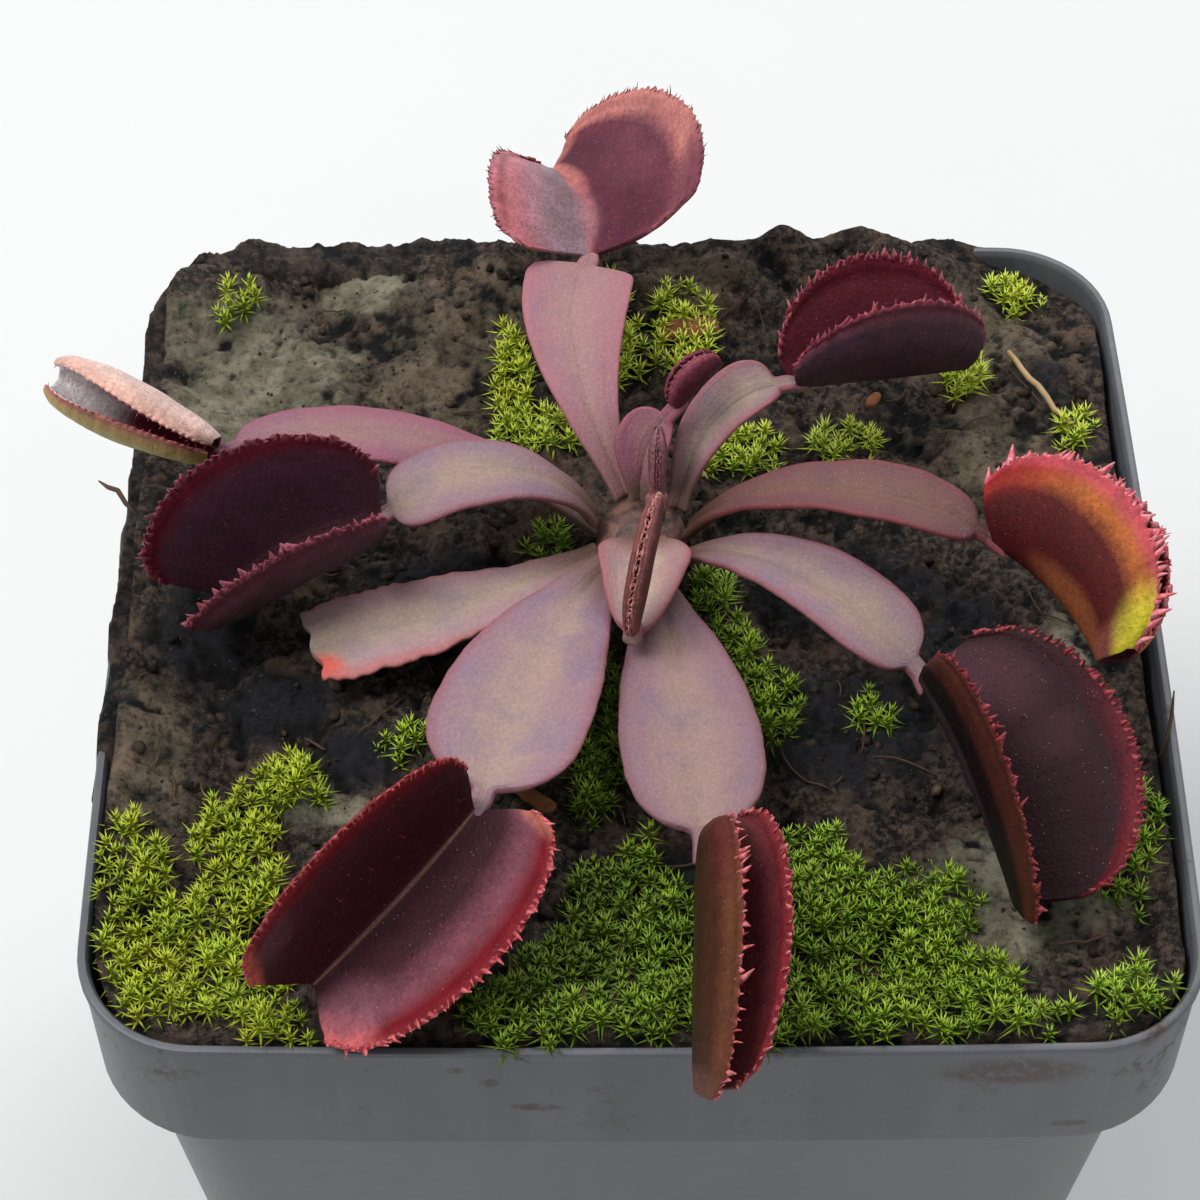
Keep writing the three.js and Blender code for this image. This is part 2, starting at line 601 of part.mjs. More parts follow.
const TRAP_STEPS = 17;
const YOUNG_TRAP_STEPS = 10;
function addLeaf(leaf, trapSteps) {
  addPiece(`stalk_${leaf.name}`, makeStalk(leaf), STALK_SKIN);
  if (!leaf.trap) return;
  const tip = stalkSpine(leaf).pop();
  const along = direction(leaf.trap.headings[0], leaf.trap.pitches[0]);
  const start = tip.at.addScaledVector(along, leaf.trap.gap ?? NECK_GAP);
  const skin = leaf.trap.pale ? PALE_TRAP_SKIN : TRAP_SKIN;
  addPiece(`trap_${leaf.name}`, makeTrap(leaf.trap, start, trapSteps), skin);
}

const plant = [];
function addPiece(name, solid, material) {
  plant.push(addMesh(name, solid, material));
}

// ---------------------------------------------------------------- moss
// Star moss: a low carpet whose surface rises to a pointed shoot at every third node of a
// triangular lattice. A patch is a union of round spots on the soil: [x, y, half width, half depth].
const MOSS_PATCHES = {
  moss_corner: [[-34.6, -26.1, 3.2, 6.6], [-27.3, -21.6, 3.7, 7], [-30.5, -31.1, 5.2, 5.4],
    [-25, -33, 4.6, 4], [-22, -36, 4, 1.9], [-24.2, -15.6, 2.8, 2.8]],
  moss_front: [[-1, -25.6, 4.8, 5.6], [-1.6, -32.1, 6.4, 5.8], [-8, -34.8, 4.6, 3], [4, -31.6, 4, 5],
    [12, -26.1, 4.4, 7], [13, -32.6, 6.4, 5.6], [19, -26.8, 4.4, 4.6], [20.4, -33.2, 4.6, 4.8],
    [7, -35.2, 4.4, 3.4], [25.5, -35.4, 2.8, 1.7]],
  moss_strip_left: [[-2.8, -8.6, 2.2, 4.4], [-2.8, -14.6, 2.4, 5]],
  moss_strip_right: [[5, 1.4, 2.2, 2.8], [6.7, -3.6, 2.6, 4], [9.2, -8.6, 2.7, 4]],
  moss_back_left: [[-9.2, 24.9, 1.9, 4.8], [-7.6, 17.7, 4.2, 2.5], [-9, 20.8, 2, 2.4]],
  moss_back_middle: [[-1.2, 27.4, 1.9, 5.6]],
  moss_back_right: [[4, 28.2, 3.2, 4.3]],
  moss_young: [[7.6, 16, 4.2, 3.2]],
  moss_far_back: [[16, 16.8, 3.1, 2.1]],
  moss_right_back: [[25.4, 24.1, 2, 2.7]],
  moss_back_wall: [[30.3, 33, 2.8, 1.9]],
  moss_right_wall: [[33.6, 18.8, 2, 2.8]],
  moss_right_middle: [[34.2, -19, 2.2, 2.6], [32.6, -24.6, 2.1, 2.6], [33.6, -22, 1.8, 2]],
  moss_right_corner: [[32.4, -33.6, 2.8, 1.8]],
  moss_centre_right: [[16.5, -8.8, 1.8, 2.4]],
  moss_back_corner: [[-31.2, 29.8, 2.1, 1.8]],
  moss_centre_left: [[-6.6, 7.2, 2.2, 2.6]],
  moss_left: [[-17, -12.3, 1.8, 2.1]],
};
const MOSS_PITCH = 1.08;         // lattice spacing; shoots stand 1.7 times this apart
const SHOOT_HEIGHT = 2.3;
const CARPET_HEIGHT = 0.85;
const MOSS_FEATHER = 0.1;        // share of a spot's radius over which the carpet dies out
const LEAF_CLEARANCE = 0.5;
const MOSS_OVERHANG = 1.1;       // how far shoots at the wall hang over the lip
const MOSS_CEILING = 9;
const UNDER_SOIL = -1.2;         // where the carpet's surface runs when there is no moss

// Lowest plant surface above a spot, so that the moss stays under the leaves.
function headroom(x, y, reach) {
  let lowest = Infinity;
  for (const spot of plantSpots) {
    if (Math.abs(spot.x - x) < reach && Math.abs(spot.y - y) < reach) lowest = Math.min(lowest, spot.z);
  }
  return lowest;
}

function mossCover(spots, x, y) {
  const inside = ([cx, cy, rx, ry]) => 1 - Math.hypot((x - cx) / rx, (y - cy) / ry);
  const ragged = 0.16 * noise(x, y, 2.6, 23);
  return Math.max(...spots.map(inside)) + ragged;
}

function makeMoss(spots, random, raisedSoil) {
  const margin = 1.6;
  const low = [0, 1].map((k) => Math.min(...spots.map((s) => s[k] - s[k + 2])) - margin);
  const high = [0, 1].map((k) => Math.max(...spots.map((s) => s[k] + s[k + 2])) + margin);
  const rowPitch = MOSS_PITCH * Math.sqrt(3) / 2;
  const columns = Math.ceil((high[0] - low[0]) / MOSS_PITCH);
  const rows = Math.ceil((high[1] - low[1]) / rowPitch);
  const points = [];
  for (let j = 0; j <= rows; j += 1) {
    for (let i = 0; i <= columns; i += 1) {
      let x = low[0] + (i + (j % 2) / 2) * MOSS_PITCH;
      let y = low[1] + j * rowPitch;
      const isShoot = (i - Math.floor(j / 2) + 2 * j + 3000) % 3 === 0;
      const [wobbleX, wobbleY, tall] = [random() - 0.5, random() - 0.5, random()];
      const full = ramp(mossCover(spots, x, y) / MOSS_FEATHER);
      const height = isShoot ? SHOOT_HEIGHT * (0.75 + 0.5 * tall) : CARPET_HEIGHT * (0.8 + 0.5 * tall);
      const ground = soilHeight(x, y);
      const room = headroom(x, y, 1.3) - LEAF_CLEARANCE - ground;
      let rise = UNDER_SOIL + (height - UNDER_SOIL) * full;
      if (rise > room) rise = room > CARPET_HEIGHT ? room : UNDER_SOIL;
      if (isShoot) {
        x += wobbleX * 0.9;
        y += wobbleY * 0.9;
      }
      points.push(V(x, y, ground + rise));
    }
  }
  return columnsUnder(points, columns, rows).subtract(raisedSoil).intersect(mossRoom);
}

// Solid between a triangular-lattice surface and a flat floor below the soil's surface.
function columnsUnder(points, columns, rows) {
  const floor = LIP_Z - 8;
  const count = points.length;
  const all = [...points, ...points.map((p) => V(p.x, p.y, floor))];
  const triangles = [];
  const at = (i, j) => j * (columns + 1) + i;
  const quad = (a, b, c, d) => triangles.push([a, b, c], [a, c, d]);
  for (let j = 0; j < rows; j += 1) {
    for (let i = 0; i < columns; i += 1) {
      const [a, b, c, d] = [at(i, j), at(i + 1, j), at(i + 1, j + 1), at(i, j + 1)];
      const faces = j % 2 ? [[a, b, c], [a, c, d]] : [[a, b, d], [b, c, d]];
      for (const [p, q, r] of faces) {
        triangles.push([p, q, r], [p + count, r + count, q + count]);
      }
    }
  }
  for (let i = 0; i < columns; i += 1) {
    quad(at(i + 1, 0), at(i, 0), at(i, 0) + count, at(i + 1, 0) + count);
    quad(at(i, rows), at(i + 1, rows), at(i + 1, rows) + count, at(i, rows) + count);
  }
  for (let j = 0; j < rows; j += 1) {
    quad(at(0, j), at(0, j + 1), at(0, j + 1) + count, at(0, j) + count);
    quad(at(columns, j + 1), at(columns, j), at(columns, j) + count, at(columns, j + 1) + count);
  }
  return solidFrom(all, triangles);
}

// ---------------------------------------------------------------- assembly
addMesh('pot', makePot(), POT_PLASTIC);
addMesh('soil', makeSoil(), PEAT);
addPiece('crown', makeCrown(), CROWN_FLESH);
for (const leaf of LEAVES) addLeaf(leaf, TRAP_STEPS);
for (const leaf of YOUNG_LEAVES) {
  const [dx, dy, dz] = leaf.from;
  addLeaf({ ...leaf, start: V(CROWN.x + dx, CROWN.y + dy, LIP_Z + dz) }, YOUNG_TRAP_STEPS);
}

const plantSpots = plant.flatMap((piece) => {
  const flat = piece.getMesh().vertProperties;
  return Array.from({ length: flat.length / 3 }, (_, i) => V(flat[3 * i], flat[3 * i + 1], flat[3 * i + 2]));
});
const raisedSoil = soilBlock(FIT_GAP);
const mossRoom = loft([
  potRing(SOIL_HALF - WALL_DRAFT - SIDE_BOW, SOIL_CORNER, SOIL_SHOULDER),
  potRing(SOIL_HALF - WALL_DRAFT - SIDE_BOW, SOIL_CORNER, LIP_Z + FIT_GAP),
  potRing(SOIL_HALF + MOSS_OVERHANG - SIDE_BOW, SOIL_CORNER + MOSS_OVERHANG, LIP_Z + FIT_GAP + 0.1),
  potRing(SOIL_HALF + MOSS_OVERHANG - SIDE_BOW, SOIL_CORNER + MOSS_OVERHANG, LIP_Z + MOSS_CEILING),
]);
const random = seeded(41);
for (const [name, spots] of Object.entries(MOSS_PATCHES)) {
  addMesh(name, makeMoss(spots, random, raisedSoil), MOSS);
}

export default group;
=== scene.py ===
import math
import random

import bmesh
import bpy
from mathutils import Matrix, Vector, noise
from mathutils.bvhtree import BVHTree


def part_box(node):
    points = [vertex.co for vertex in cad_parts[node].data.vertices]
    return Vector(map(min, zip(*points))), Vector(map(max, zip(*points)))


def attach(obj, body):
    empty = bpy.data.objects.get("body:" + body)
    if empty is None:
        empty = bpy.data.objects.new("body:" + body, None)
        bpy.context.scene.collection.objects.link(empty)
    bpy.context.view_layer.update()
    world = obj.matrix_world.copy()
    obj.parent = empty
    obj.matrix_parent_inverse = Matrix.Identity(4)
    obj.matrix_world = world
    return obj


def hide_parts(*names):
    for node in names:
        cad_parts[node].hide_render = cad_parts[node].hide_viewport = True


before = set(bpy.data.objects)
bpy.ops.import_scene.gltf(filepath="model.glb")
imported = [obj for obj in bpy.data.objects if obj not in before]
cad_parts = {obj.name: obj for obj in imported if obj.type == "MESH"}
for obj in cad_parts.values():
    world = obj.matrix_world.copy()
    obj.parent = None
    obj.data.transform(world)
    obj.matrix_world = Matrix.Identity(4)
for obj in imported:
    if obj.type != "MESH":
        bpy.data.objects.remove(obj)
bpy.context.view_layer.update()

# ---------------------------------------------------------------- view, floor and studio light
# A plain pale sheet under the pot, an even pale sky and two large soft lamps above it.
# The camera looks down on the pot's front from the photograph's height. Numbers are millimetres.
MM = 0.001
VIEW_SPOT = Vector((-2.979, -149.423, 246.374))
VIEW_TILT, VIEW_YAW, VIEW_ROLL = 0.8712, 0.0021, -0.0018
camera = bpy.data.objects.new("camera", bpy.data.cameras.new("camera"))
camera.data.sensor_width = 36
camera.data.lens = 96.035
camera.data.clip_start, camera.data.clip_end = 0.01, 20
camera.matrix_world = (Matrix.Translation(VIEW_SPOT * MM)
                       @ Matrix.Rotation(-VIEW_YAW, 4, "Z")
                       @ Matrix.Rotation(math.pi / 2 - VIEW_TILT, 4, "X")
                       @ Matrix.Rotation(VIEW_ROLL, 4, "Z"))
bpy.context.scene.collection.objects.link(camera)
bpy.context.scene.camera = camera
bpy.context.scene.view_settings.view_transform = "Standard"


def node(tree, kind, values=(), **options):
    """One shader node: `values` fill or feed its sockets, `options` set what it does."""
    made = tree.nodes.new("ShaderNode" + kind)
    for key, value in options.items():
        setattr(made, key, value)
    for socket, value in dict(values).items():
        if isinstance(value, bpy.types.NodeSocket):
            tree.links.new(value, made.inputs[socket])
        else:
            made.inputs[socket].default_value = value
    return made


def new_finish(name, roughness, specular=0.5):
    """An empty finish: its node tree, its shader and the piece's own coordinates in millimetres."""
    finish = bpy.data.materials.new(name)
    finish.use_nodes = True
    tree = finish.node_tree
    skin = tree.nodes["Principled BSDF"]
    skin.inputs["Roughness"].default_value = roughness
    skin.inputs["Specular IOR Level"].default_value = specular
    own = node(tree, "TexCoord").outputs["Object"]
    place = node(tree, "Mapping", {0: own, 3: (1 / MM,) * 3}).outputs[0]
    return finish, tree, skin, place


def grain(tree, place, per_mm, detail=3, rough=0.55, stretch=(1, 1, 1)):
    """Soft random grain between 0 and 1, `per_mm` lumps to the millimetre."""
    where = node(tree, "Mapping", {0: place, 3: stretch}).outputs[0]
    values = {"Vector": where, "Scale": per_mm, "Detail": detail, "Roughness": rough}
    return node(tree, "TexNoise", values).outputs[0]


def blend(tree, factor, under, over):
    """`over` laid on `under` by `factor`."""
    return node(tree, "Mix", {0: factor, 6: under, 7: over}, data_type="RGBA").outputs[2]


def wear(skin, tree, colour):
    """Gives a finish its colour."""
    tree.links.new(colour, skin.inputs["Base Color"])


sheet, tree, skin, place = new_finish("pale_sheet", 0.8, 0.2)
wear(skin, tree, blend(tree, grain(tree, place, 0.02), (0.645, 0.645, 0.64, 1), (0.665, 0.665, 0.66, 1)))
ground = bmesh.new()
bmesh.ops.create_grid(ground, x_segments=1, y_segments=1, size=3)
mesh = bpy.data.meshes.new("floor")
ground.to_mesh(mesh)
mesh.materials.append(sheet)
floor = bpy.data.objects.new("floor", mesh)
bpy.context.scene.collection.objects.link(floor)

sky = bpy.data.worlds.new("sky")
sky.use_nodes = True
sky.node_tree.nodes["Background"].inputs[0].default_value = (0.95, 0.97, 1.0, 1)
sky.node_tree.nodes["Background"].inputs[1].default_value = 0.5
bpy.context.scene.world = sky
LIT_SPOT = Vector((0, 0, 0.06))
LAMPS = (("lamp_left", (-0.38, -0.05, 0.75), 0.4, 5.2), ("lamp_back", (0.25, 0.5, 0.7), 0.45, 3.6))
for name, spot, size, watts in LAMPS:
    lamp = bpy.data.lights.new(name, "AREA")
    lamp.size, lamp.energy = size, watts
    hung = bpy.data.objects.new(name, lamp)
    hung.location = spot
    hung.rotation_euler = (LIT_SPOT - Vector(spot)).to_track_quat("-Z", "Y").to_euler()
    bpy.context.scene.collection.objects.link(hung)

# ---------------------------------------------------------------- pot
# A square nursery pot pressed from thin grey polypropylene: a leaning body, a wide collar that
# steps out of it, a narrow rolled lip and four drain holes. Peat has rubbed off on the collar.
POT_HEIGHT, WALL, COLLAR_BOTTOM = 68.0, 0.8, 56.3
CORNER, BOW, DRAFT = 8.4, 0.295, 6     # corner radius, how far a side bows out, lean in degrees
LIP_HALF = 37.7
BODY_HALF = LIP_HALF - 2.4
FLOOR = WALL + 0.4
DRAIN_RADIUS, DRAIN_OFFSET = 3.4, 17.0
SIDE_STEPS, CORNER_STEPS = 14, 12


def body_half(z):
    """Half the body's width at a height."""
    return BODY_HALF - (COLLAR_BOTTOM - z) * math.tan(math.radians(DRAFT))


def body_corner(z):
    """The body's corner radius at a height."""
    return CORNER - 1 - (COLLAR_BOTTOM - z) * 0.03


def edges_of(verts):
    """The edges at these corners, each once and always in the same order."""
    return list(dict.fromkeys(edge for v in verts for edge in v.link_edges))


def pot_ring(bm, half, corner, z):
    """One rounded square with softly bowed sides, made from a circle of edges."""
    steps = SIDE_STEPS + CORNER_STEPS
    ring = bmesh.ops.create_circle(bm, segments=4 * steps, radius=1)["verts"]
    straight = half - corner
    for count, v in enumerate(ring):
        quarter, step = divmod(count, steps)
        if step <= SIDE_STEPS:
            t = -1 + 2 * step / SIDE_STEPS
            flat = Vector((half + BOW * (1 - t * t), straight * t, z))
        else:
            turn = (step - SIDE_STEPS) / CORNER_STEPS * math.pi / 2
            flat = Vector((straight + corner * math.cos(turn), straight + corner * math.sin(turn), z))
        v.co = Matrix.Rotation(quarter * math.pi / 2, 3, "Z") @ flat
    return edges_of(ring)


def set_piece(bm, name, finishes, slot, *nodes, crease=None):
    """Brings a finished mesh to size, gives it its finishes and fixes it to the plant."""
    bmesh.ops.scale(bm, vec=(MM,) * 3, verts=bm.verts)
    for face in bm.faces:
        face.smooth = True
    if crease:
        for edge in bm.edges:
            edge.smooth = edge.calc_face_angle(0) < math.radians(crease)
    mesh = bpy.data.meshes.new(name)
    bm.to_mesh(mesh)
    bm.free()
    for finish in finishes:
        mesh.materials.append(finish)
    piece = bpy.data.objects.new(name, mesh)
    bpy.context.scene.collection.objects.link(piece)
    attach(piece, "root")
    if nodes:
        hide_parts(*nodes)
    return piece


bm = bmesh.new()
shell = [
    (body_half(0) - 0.9, body_corner(0) - 0.9, 0), (body_half(0) - 0.35, body_corner(0) - 0.35, 0.12),
    (body_half(0.5) - 0.08, body_corner(0.5), 0.5), (body_half(1.1), body_corner(1.1), 1.1),
    (BODY_HALF, body_corner(COLLAR_BOTTOM), COLLAR_BOTTOM), (LIP_HALF - 0.55, CORNER + 0.2, COLLAR_BOTTOM),
    (LIP_HALF - 0.33, CORNER + 0.25, COLLAR_BOTTOM + 0.1),
    (LIP_HALF - 0.25, CORNER + 0.3, COLLAR_BOTTOM + 0.35),
    (LIP_HALF - 0.15, CORNER, POT_HEIGHT - 0.9), (LIP_HALF, CORNER, POT_HEIGHT - 0.7),
    (LIP_HALF, CORNER, POT_HEIGHT - 0.3), (LIP_HALF - 0.1, CORNER - 0.1, POT_HEIGHT - 0.08),
    (LIP_HALF - 0.3, CORNER - 0.3, POT_HEIGHT), (LIP_HALF - 0.55, CORNER - 0.55, POT_HEIGHT - 0.05),
    (LIP_HALF - 0.75, CORNER - 0.75, POT_HEIGHT - 0.3), (LIP_HALF - WALL, CORNER - WALL, POT_HEIGHT - 0.6),
    (LIP_HALF - WALL - 0.3, CORNER - WALL, COLLAR_BOTTOM + WALL),
    (BODY_HALF - WALL, body_corner(COLLAR_BOTTOM) - WALL, COLLAR_BOTTOM + WALL * 0.6),
    (body_half(FLOOR) - WALL, body_corner(FLOOR) - WALL, FLOOR),
]
rings = [pot_ring(bm, *ring) for ring in shell]
for lower, upper in zip(rings, rings[1:]):
    bmesh.ops.bridge_loops(bm, edges=lower + upper)
drains = []
for z in (0, FLOOR):
    holes = []
    for x in (-DRAIN_OFFSET, DRAIN_OFFSET):
        for y in (-DRAIN_OFFSET, DRAIN_OFFSET):
            hole = bmesh.ops.create_circle(bm, segments=32, radius=DRAIN_RADIUS,
                                           matrix=Matrix.Translation((x, y, z)))["verts"]
            holes.append(edges_of(hole))
    bmesh.ops.triangle_fill(bm, edges=(rings[0] if z == 0 else rings[-1]) + sum(holes, []), use_beauty=True)
    drains.append(holes)
for low, high in zip(*drains):
    bmesh.ops.bridge_loops(bm, edges=low + high)
bmesh.ops.recalc_face_normals(bm, faces=bm.faces)


def paint(red, green, blue):
    """A colour as it looks on a screen, 0 to 255, made linear for the shader."""
    shades = [((c / 255 + 0.055) / 1.055) ** 2.4 if c > 10 else c / 3294.6 for c in (red, green, blue)]
    return (*shades, 1.0)


def between(tree, value, low, high):
    """0 below `low`, 1 above `high`; the other way round where low is the larger."""
    first, last = (0.0, 1.0) if low < high else (1.0, 0.0)
    return node(tree, "MapRange", {0: value, 1: min(low, high), 2: max(low, high), 3: first, 4: last},
                interpolation_type="SMOOTHSTEP").outputs[0]


def sums(tree, kind, first, second=0.0):
    """Arithmetic on two values or sockets."""
    return node(tree, "Math", {0: first, 1: second}, operation=kind).outputs[0]


def roughen(tree, skin, height, depth, under=None):
    """Fine relief, `depth` millimetres from its lowest to its highest."""
    values = {"Height": height, "Distance": depth * MM, "Strength": 1.0}
    if under:
        values["Normal"] = under
    relief = node(tree, "Bump", values).outputs[0]
    tree.links.new(relief, skin.inputs["Normal"])
    return relief


PLASTIC_GLOSS = 0.46
# Dried smears of peat on the collar: place, and how far each reaches.
COLLAR_SMEARS = (
    ((24.5, -37.6, 65.2), (6, 5, 2)), ((33.6, -36.6, 67.3), (1.3, 3, 1.4)),
    ((-7.2, -37.6, 61.2), (2.3, 5, 0.6)), ((28.9, -37.6, 58.4), (1.7, 5, 0.5)),
    ((-10.1, -37.6, 64.3), (0.8, 5, 0.6)),
    ((-12.3, -37.6, 65.8), (0.9, 5, 0.5)), ((4.2, -37.6, 64.4), (1.2, 5, 0.5)),
)
plastic, tree, skin, place = new_finish("pressed_grey_plastic", PLASTIC_GLOSS, 0.42)
height = node(tree, "SeparateXYZ", {0: place}).outputs[2]
streaks = grain(tree, place, 0.22, 4, 0.6, (1, 1, 0.16))
collar = blend(tree, between(tree, streaks, 0.35, 0.7), paint(83, 84, 89), paint(92, 93, 98))
# The body is painted lighter than the collar above it: painted light thrown up from the pale floor onto the
# lower wall.
body = blend(tree, streaks, paint(96, 97, 101), paint(108, 109, 113))
grey = blend(tree, between(tree, height, 57, 55), collar, body)
chalk = sums(tree, "MULTIPLY", between(tree, grain(tree, place, 0.9, 5, 0.7), 0.6, 0.74), 0.42)
grey = blend(tree, chalk, grey, paint(118, 117, 117))
near_lip = between(tree, height, 55, 67)
dirt = sums(tree, "MULTIPLY", between(tree, grain(tree, place, 0.16, 6, 0.68), 0.55, 0.66), near_lip)
dirt = sums(tree, "MULTIPLY", dirt, between(tree, grain(tree, place, 1.6, 3, 0.6), 0.42, 0.62))
grey = blend(tree, sums(tree, "MULTIPLY", dirt, 0.62), grey, paint(74, 58, 46))
smears = between(tree, grain(tree, place, 1.3, 5, 0.7), 0.34, 0.52)
for spot, reach in COLLAR_SMEARS:
    centred = {0: place, 1: [-c / r for c, r in zip(spot, reach)], 3: [1 / r for r in reach]}
    shifted = node(tree, "Mapping", centred).outputs[0]
    far = node(tree, "VectorMath", {0: shifted}, operation="LENGTH").outputs["Value"]
    smear = sums(tree, "MULTIPLY", between(tree, far, 1.0, 0.5), smears)
    grey = blend(tree, sums(tree, "MULTIPLY", smear, 0.9), grey, paint(62, 46, 36))
wear(skin, tree, grey)
duller = node(tree, "Math", {0: dirt, 1: 0.3, 2: PLASTIC_GLOSS}, operation="MULTIPLY_ADD").outputs[0]
tree.links.new(duller, skin.inputs["Roughness"])
fine = roughen(tree, skin, grain(tree, place, 9, 2), 0.012)
roughen(tree, skin, grain(tree, place, 0.35, 2), 0.06, fine)
set_piece(bm, "nursery_pot", [plastic], "pot_plastic", "pot", crease=38)

# ---------------------------------------------------------------- peat
# The pot is filled with moist black-brown peat: crumbs and clods, a rise to the wall in front,
# on the left and at the back, and paler dried crusts. It is one block, packed in by hand.
SOIL_LEVEL = POT_HEIGHT - 1.0
SOIL_HALF = LIP_HALF - WALL - 0.4
SOIL_CORNER = CORNER - WALL - 0.35
CROWN = Vector((0.4, 5.8, POT_HEIGHT))
CROWN_RADIUS = 3.35
UNDER_CROWN = POT_HEIGHT - 5.85        # the bottom of the socket the crown sits in
PEAT_CELLS = 268


def lattice(ix, iy, seed):
    """A repeatable random value between -1 and 1 for one corner of a lattice."""
    mask = 0xFFFFFFFF
    h = (ix * 374761393 + iy * 668265263 + seed * 2246822519) & mask
    h = ((h ^ (h >> 13)) * 1274126177) & mask
    return (h ^ (h >> 16)) / 2147483648 - 1


def swell(x, y, size, seed):
    """Smooth rise and fall between -1 and 1, one cell to `size` millimetres."""
    iu, iv = math.floor(x / size), math.floor(y / size)
    s, t = x / size - iu, y / size - iv
    s, t = s * s * (3 - 2 * s), t * t * (3 - 2 * t)
    low = lattice(iu, iv, seed) * (1 - s) + lattice(iu + 1, iv, seed) * s
    high = lattice(iu, iv + 1, seed) * (1 - s) + lattice(iu + 1, iv + 1, seed) * s
    return low * (1 - t) + high * t


def rise(t):
    """A smooth step from 0 to 1."""
    t = min(1.0, max(0.0, t))
    return t * t * (3 - 2 * t)


def heap(x, y, cx, cy, r):
    """A round heap, 1 at its middle and fading over `r` millimetres."""
    return math.exp(-((x - cx) ** 2 + (y - cy) ** 2) / (r * r))


def peat_level(x, y):
    """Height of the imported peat, before its crumbs."""
    crumbs = 0.65 * swell(x, y, 8.5, 3) + 0.5 * swell(x, y, 3.4, 11)
    back = 2.5 * rise((y - 27) / 7) * (0.75 + 0.5 * swell(x, y, 6, 5)) * rise((31 - x) / 12)
    left = 1.9 * rise((-28 - x) / 6) * rise((34 - abs(y - 4)) / 8) * (0.7 + 0.5 * swell(x, y, 6, 7))
    peak = 2.8 * heap(x, y, 12.1, 36.3, 2.2)
    clods = 1.3 * heap(x, y, -22, -6, 5.5) + 1.1 * heap(x, y, 8, 35, 5) + 1.5 * heap(x, y, -35, 6, 6)
    hollow = -0.9 * heap(x, y, -3, -22, 6) - 0.7 * heap(x, y, 16, -3, 7)
    at_wall = 0.8 * rise((max(-y, -x) - 29) / 6)
    return SOIL_LEVEL + at_wall + crumbs + back + left + peak + clods + hollow


def crumbly(x, y):
    """Clods and crumbs of three sizes with gaps between them, later painted dark as shade, and a torn
    fibrous roughness.
    """
    warp = 0.9 * noise.noise(Vector((x, y, 3)) * 0.5)
    clod = noise.voronoi(Vector((x + warp, y - warp, 0)) * 0.3)[0][0]
    crumb = noise.voronoi(Vector((x + warp, y - warp, 4)) * 0.75)[0][0]
    fine = noise.voronoi(Vector((x - warp, y, 7)) * 1.7)[0][0]
    torn = noise.fractal(Vector((x, y, 0)) * 0.8, 0.6, 2.1, 6)
    return 1.35 * (0.4 - clod) + 0.85 * (0.4 - crumb) + 0.4 * (0.4 - fine) + 0.5 * torn


def on_square(u, v, half, corner):
    """A place on the rounded square for one on the square from -1 to 1."""
    x, y, straight = u * half, v * half, half - corner
    dx, dy = abs(x) - straight, abs(y) - straight
    if dx <= 0 or dy <= 0:
        return x, y
    reach = max(dx, dy) / math.hypot(dx, dy)
    return math.copysign(straight + dx * reach, x), math.copysign(straight + dy * reach, y)


# Dried crusts, stained patches, damp patches and painted shadows under the leaves: place, half width, half
# depth.
GREY_CRUST = [(-29, 25, 9, 8), (-32, 19, 5, 7), (-21, 33, 5, 3), (26, -24, 8, 7), (-22, -17, 4, 2),
              (31, -5, 3, 6)]
BROWN_CRUST = [(-12, 29, 10, 6), (-16, 22, 7, 5), (5, 33, 7, 3), (22, -29, 5, 4), (26, 28, 8, 6),
               (28, 17, 6, 8), (-34, -14, 3, 10)]
# The last list is damp peat and, where the leaves overhang, painted shadow.
DAMP_AND_LEAF_SHADE = [(-31, -3, 5, 6), (-26, -9, 6, 4), (-34, 6, 2, 5), (-14, -24, 4, 4), (15, -10, 9, 7), (2, -23, 5, 3),
        (26, -13, 5, 5), (-14, -2, 9, 4), (-20, -13, 4, 3), (-8, 20, 4, 4), (31, 22, 3, 6),
        (-12, 3.5, 9, 4), (15, 3, 10, 5), (24, -2, 5, 5)]


def bank(x, y):
    """Peat pushed up against the wall, on the left and along the back."""
    left = 1.5 * rise((-33.5 - x) / 2.6) * rise((36 - abs(y - 1)) / 8) * (0.7 + 0.5 * swell(x, y, 3.1, 17))
    back = 0.7 * rise((y - 33.5) / 2.6) * rise((30 - abs(x + 2)) / 7) * (0.6 + 0.6 * swell(x, y, 2.7, 19))
    return left + back


def in_patches(patches, x, y):
    """1 inside the patches and 0 outside, with ragged edges."""
    ragged = 0.22 * noise.fractal(Vector((x, y, 5)) * 0.45, 0.6, 2.0, 4)
    deepest = max(1 - math.hypot((x - cx) / rx, (y - cy) / ry) for cx, cy, rx, ry in patches)
    return rise((deepest + ragged) / 0.45)


bm = bmesh.new()
crusts_damp_and_shade = bm.verts.layers.float_color.new("crusts_damp_and_shade")
bmesh.ops.create_grid(bm, x_segments=PEAT_CELLS, y_segments=PEAT_CELLS, size=1)
for v in bm.verts:
    x, y = on_square(v.co.x, v.co.y, SOIL_HALF - 0.1, SOIL_CORNER)
    inward = 1 - max(abs(v.co.x), abs(v.co.y))
    grey, brown, damp_and_leaf_shade = (in_patches(patches, x, y) for patches in (GREY_CRUST, BROWN_CRUST, DAMP_AND_LEAF_SHADE))
    relief = crumbly(x, y)
    bare = 1 - 0.45 * max(grey, brown)
    z = peat_level(x, y) + relief * bare * min(1, 0.3 + inward * 12) + bank(x, y)
    if math.hypot(x - CROWN.x, y - CROWN.y) < CROWN_RADIUS + 0.35:
        z = UNDER_CROWN
    v.co = (x, y, z)
    # The attribute carries the grey and brown crusts, the relief that sets the painted shade in the gaps,
    # and the damp patches with the painted shadow under the leaves.
    v[crusts_damp_and_shade] = (grey, brown, 0.5 + 0.5 * relief, damp_and_leaf_shade)
STEPS_DOWN = ((57.6, SOIL_HALF - 0.4), (57.3, 34.0), (FLOOR + 0.35, 28.3))   # level, half width
